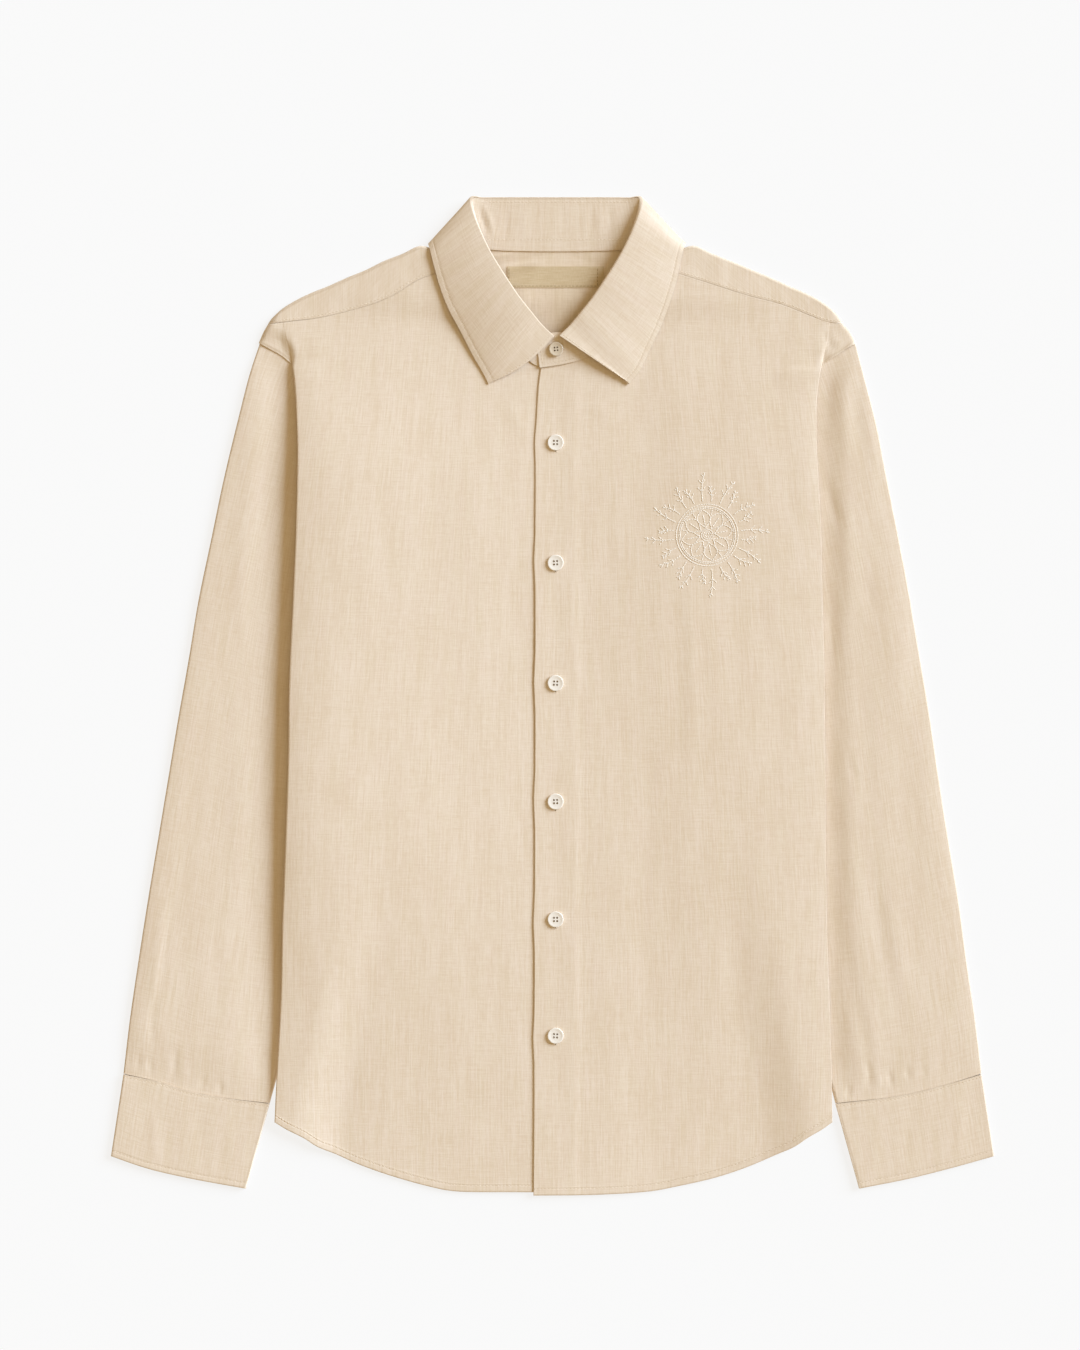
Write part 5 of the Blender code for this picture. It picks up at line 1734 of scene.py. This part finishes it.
def evenly(path, pitch):
    """Places along a bent line at an even pitch, with the way that it goes there."""
    line = Line(path, curved=False)
    count = max(1, int(round(line.length / pitch)))
    t = (np.arange(count) + 0.5) / count
    way = line.at(t + 0.3 / count) - line.at(t - 0.3 / count)
    return line.at(t), unit(way)


def sew(name, piece, paths, finish=SEWING_THREAD, size=STITCH, pitch=STITCH_PITCH):
    """Stitches along bent lines on a piece, as one piece of thread."""
    points, faces = [], []
    for path in paths:
        for (x, y), way in zip(*evenly(path, pitch)):
            spot, normal = surface_at(piece, x, y)
            if spot is None:
                continue
            spot, normal = np.array(spot) / MM, np.array(normal)
            along = np.array([way[0], way[1], 0.0])
            along = unit(along - normal * (along @ normal))
            axes = np.array([along * size[0], np.cross(normal, along) * size[1], normal * size[2]]) / 2
            start = len(points) * len(GRAIN)
            points.append(GRAIN @ axes + spot)
            faces += [tuple(start + i for i in face) for face in GRAIN_FACES]
    mesh = bpy.data.meshes.new(name)
    mesh.from_pydata((np.vstack(points) * MM).tolist(), [], faces)
    mesh.polygons.foreach_set("use_smooth", [True] * len(mesh.polygons))
    put_in_scene(name, mesh, finish)
    print(name, "stitches", len(points), "triangles", triangles(mesh))


# %% [markdown]
# Every edge that a sewer turns gets a line of stitches beside it: the collar, the stand, the cuffs,
# the hem, the yoke seams and the label.

# %% Sew the seams
YOKE_STITCH = 1.9
# Round the stand's front end, and along its upper and lower edge behind the neck
STAND_SEWN = (((-9.6, 275.5), (-7.6, 264.2), (0.5, 265.2), (10.5, 267.0), (24.0, 270.6)),
              ((-57, 393.6), (63, 393.6)), ((-58, 363.8), (64, 363.8)))
# Three sides of the label: down, across and up
LABEL_SEWN = ((36.0, 341.2), (36.0, 326.8), (-34.7, 326.8), (-34.7, 341.2))


def beside(line, distance):
    """A line moved sideways: to its left, or for a distance below 0 to its right."""
    way = unit(np.gradient(line.points, axis=0))
    return line.points + distance * np.column_stack([-way[:, 1], way[:, 0]])


sew("collar_leaf_stitches", "collar_leaf_cloth", SEWN_LINES)
sew("collar_stand_stitches", "collar_stand_cloth", STAND_SEWN)
for side, word in SIDES.items():
    end = beside(Line(side_points(CUFF_END, side)), -side * CUFF_STITCH)
    seam = beside(Line(side_points(CUFF_SEAM, side)), side * CUFF_SEAM_STITCH)
    sew(f"cuff_{word}_stitches", f"cuff_{word}_cloth", [end, seam])
    sew(f"hem_{word}_stitches", f"front_{word}_cloth", [beside(front_lines(side)[0], -side * HEM_STITCH)])
sew("yoke_stitches", "yoke_cloth", [beside(Line(side_points(YOKE_SEAM, side)), -side * YOKE_STITCH)
                                    for side in SIDES])
sew("label_stitches", "neck_label_cloth", [LABEL_SEWN], thread("label_thread", "A88E63", "94794F"))

# %% [markdown]
# ## Buttonholes and shanks
# Under each button is an upright slit as long as the button is wide, with close stitches along both
# its lips and a bar of them at each end. The slit's dark line is a thin sheet of painted shade. A shank
# of wound thread holds the button on, in the same dark colour: painted shade in the holes.

# %% Buttonholes
SLIT_HALF = 6.3                   # half its length
SLIT_DROP = 0.9                   # its middle lies lower than the button's
SLIT_WIDE = 0.6
LIP_PITCH = 0.55                  # from stroke to stroke of the lips
LIP_OUT = 0.7                     # from the slit to the middle of a stroke
LIP_STITCH = (0.95, 0.45, 0.3)
BAR_PITCH = 0.45                  # the same in the bars at the slit's ends
SLIT_SPOTS = 9


def lip_paths():
    """Short strokes across the lips and ends of every buttonhole."""
    paths = []
    for spot in BUTTON_Y:
        x, y = BUTTON_X, spot - SLIT_DROP
        for place in np.arange(-SLIT_HALF, SLIT_HALF + 0.1, LIP_PITCH):
            for out in (-LIP_OUT, LIP_OUT):
                paths.append(((x + out - 0.5, y + place), (x + out + 0.5, y + place)))
        for end in (-SLIT_HALF - 0.5, SLIT_HALF + 0.5):
            for out in np.arange(-2 * BAR_PITCH, 1.0, BAR_PITCH):
                paths.append(((x + out, y + end - 0.5), (x + out, y + end + 0.5)))
    return paths


def make_slits():
    """The dark line between the lips of each buttonhole: a thin sheet whose colour is painted shade of the
    gap.
    """
    points, faces = [], []
    for spot in BUTTON_Y:
        start = len(points)
        for place in np.linspace(-SLIT_HALF, SLIT_HALF, SLIT_SPOTS):
            y = spot - SLIT_DROP + place
            z = cloth_height(BUTTON_X, y) + 0.06
            points += [(BUTTON_X - SLIT_WIDE / 2, y, z), (BUTTON_X + SLIT_WIDE / 2, y, z)]
        faces += grid_faces(SLIT_SPOTS, 2, start).tolist()
    mesh = bpy.data.meshes.new("buttonhole_slits")
    mesh.from_pydata((np.array(points) * MM).tolist(), [], faces)
    made = put_in_scene("buttonhole_slits", mesh, SLIT_SHADE)
    one_selected(made)
    wall = made.modifiers.new("wall", "SOLIDIFY")
    wall.thickness = 0.3 * MM
    bpy.ops.object.modifier_apply(modifier=wall.name)


# painted shade: one dark colour for the gap of each slit and for the shanks seen through the button holes
SLIT_SHADE = thread("shaded_slit", "8A7255", "6E5940")
sew("buttonhole_lips", "front_left_cloth", lip_paths(), size=LIP_STITCH, pitch=1.0)
make_slits()
print("buttonhole, mm long:", 2 * SLIT_HALF)

# %% Shanks
SHANK_RADIUS = 1.7
SHANK_REACH = (-0.3, 0.9)         # from the cloth's face to the shank's ends
STAND_SHANK_REACH = (-0.8, 0.6)   # the same from the stand button's underside


def make_shanks(name):
    """A short post of wound thread under every button, joined to one piece."""
    feet = [((BUTTON_X, y, cloth_height(BUTTON_X, y)), SHANK_REACH) for y in BUTTON_Y]
    bpy.ops.object.select_all(action="DESELECT")
    posts = []
    for (x, y, z), (low, high) in feet + [(STAND_BUTTON, STAND_SHANK_REACH)]:
        bpy.ops.mesh.primitive_cylinder_add(vertices=16, radius=SHANK_RADIUS * MM, depth=(high - low) * MM,
                                            location=(x * MM, y * MM, (z + (high + low) / 2) * MM))
        posts.append(bpy.context.active_object)
    for post in posts:
        post.select_set(True)
    bpy.ops.object.join()
    made = bpy.context.active_object
    made.name = name
    bpy.ops.object.transform_apply(location=True, rotation=True, scale=True)
    bpy.ops.object.shade_smooth_by_angle(angle=math.radians(SHARP["thread"]))
    # the shanks take the same dark colour: painted shade in the button holes
    made.data.materials.append(SLIT_SHADE)
    PIECES[name] = made
    print("shanks:", len(posts))


make_shanks("button_shanks")

# %% [markdown]
# ## Embroidery
# On the left chest is an open design in white cotton: a flower of eight petals between rings, and
# round it twenty-four sprigs of leaves. It is drawn as bent lines, and then worked in back stitch.

# %% Draw and work the flower
FLOWER = (123.2, 127.6)           # its middle; all that follows is in mm out from it
PETALS = 8
SPRIGS = 24
FLOWER_RINGS = (1.4, 3.0, 4.6, 21.4, 22.6, 24.6)
PETAL_FROM, PETAL_TO, PETAL_WIDE = 5.6, 20.6, 5.4
SPRIG_FROM = 27.0
SPRIG_LONG = (23.0, 13.0, 18.5, 15.0, 21.0, 12.0)
SPRIG_BEND = 0.09                 # radians, to one side and the other in turn
LEAVES = ((0.35, 4.6), (0.62, 3.8), (0.86, 2.8))   # share along the stem, and length
WHITE_STITCH = (2.2, 0.74, 0.66)
WHITE_PITCH = 2.0


def polar(radius, angle):
    return (FLOWER[0] + radius * math.cos(angle), FLOWER[1] + radius * math.sin(angle))


def flower_lines():
    """Bent lines of the rings, the petals with their veins, and the sprigs with their leaves."""
    lines = [[polar(radius, a) for a in np.linspace(0, 2 * math.pi, 49)] for radius in FLOWER_RINGS]
    for k in range(PETALS):
        turn = 2 * math.pi * k / PETALS + 0.2
        for side in (-1, 1):
            lines.append([polar(mix(PETAL_FROM, PETAL_TO, t),
                                turn + side * PETAL_WIDE * math.sin(math.pi * t ** 1.25)
                                / mix(PETAL_FROM, PETAL_TO, t)) for t in np.linspace(0, 1, 14)])
        lines.append([polar(8.0, turn), polar(16.5, turn)])
        lines.append([polar(16.0, turn + math.pi / PETALS), polar(20.6, turn + math.pi / PETALS)])
    for k in range(SPRIGS):
        turn = 2 * math.pi * (k + 0.5) / SPRIGS
        reach = SPRIG_FROM + SPRIG_LONG[k % len(SPRIG_LONG)]
        bend = SPRIG_BEND if k % 2 else -SPRIG_BEND
        lines.append([polar(mix(SPRIG_FROM, reach, t), turn + bend * t * t) for t in np.linspace(0, 1, 8)])
        for t, long in LEAVES:
            radius, angle = mix(SPRIG_FROM, reach, t), turn + bend * t * t
            for side in (-1, 1):
                tip = polar(radius + long * 0.8, angle + side * long * 0.62 / radius)
                lines.append([polar(radius, angle), tip])
    return lines


sew("chest_embroidery", "front_left_cloth", flower_lines(), WHITE_THREAD, WHITE_STITCH, WHITE_PITCH)

# %% [markdown]
# ## Pieces on the body
# Each piece rides on the shirt's one body and stands for its solid, which is hidden. The sheets say
# the size they were cut to.

SHEETS = {
    "back_cloth": ("back", (0.46, 0.67), 0.27, ["sleeve_right", "sleeve_left"]),
    "yoke_cloth": ("yoke", (0.48, 0.13), 0.05, ["back"]),
    "front_right_cloth": ("front_right", (0.26, 0.70), 0.14, ["back"]),
    "front_left_cloth": ("front_left", (0.26, 0.70), 0.14, ["back", "front_right"]),
    "sleeve_right_cloth": ("sleeve_right", (0.34, 0.60), 0.15, []),
    "sleeve_left_cloth": ("sleeve_left", (0.34, 0.60), 0.15, []),
    "cuff_right_cloth": ("cuff_right", (0.23, 0.065), None, []),
    "cuff_left_cloth": ("cuff_left", (0.23, 0.065), None, []),
    "collar_stand_cloth": ("collar_stand", (0.52, 0.036), None, ["yoke"]),
    "collar_leaf_cloth": ("collar_leaf", (0.46, 0.055), None, ["collar_stand"]),
    "neck_label_cloth": ("label", (0.077, 0.017), None, ["yoke"]),
}
for name, (node, flat, area, rests_on) in SHEETS.items():
    made = PIECES[name]
    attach(made, "root")
    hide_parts(node)
BUTTONS = {f"front_button_{i + 1}": f"button_{i + 1}" for i in range(len(BUTTON_Y))}
BUTTONS["stand_button"] = "button_stand"
for name, node in BUTTONS.items():
    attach(PIECES[name], "root")
    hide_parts(node)
SEWN = [name for name in PIECES if name not in SHEETS and name not in BUTTONS]
for name in SEWN:
    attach(PIECES[name], "root")
print("pieces:", len(SHEETS), "of cloth,", len(BUTTONS), "buttons,", len(SEWN), "of thread")
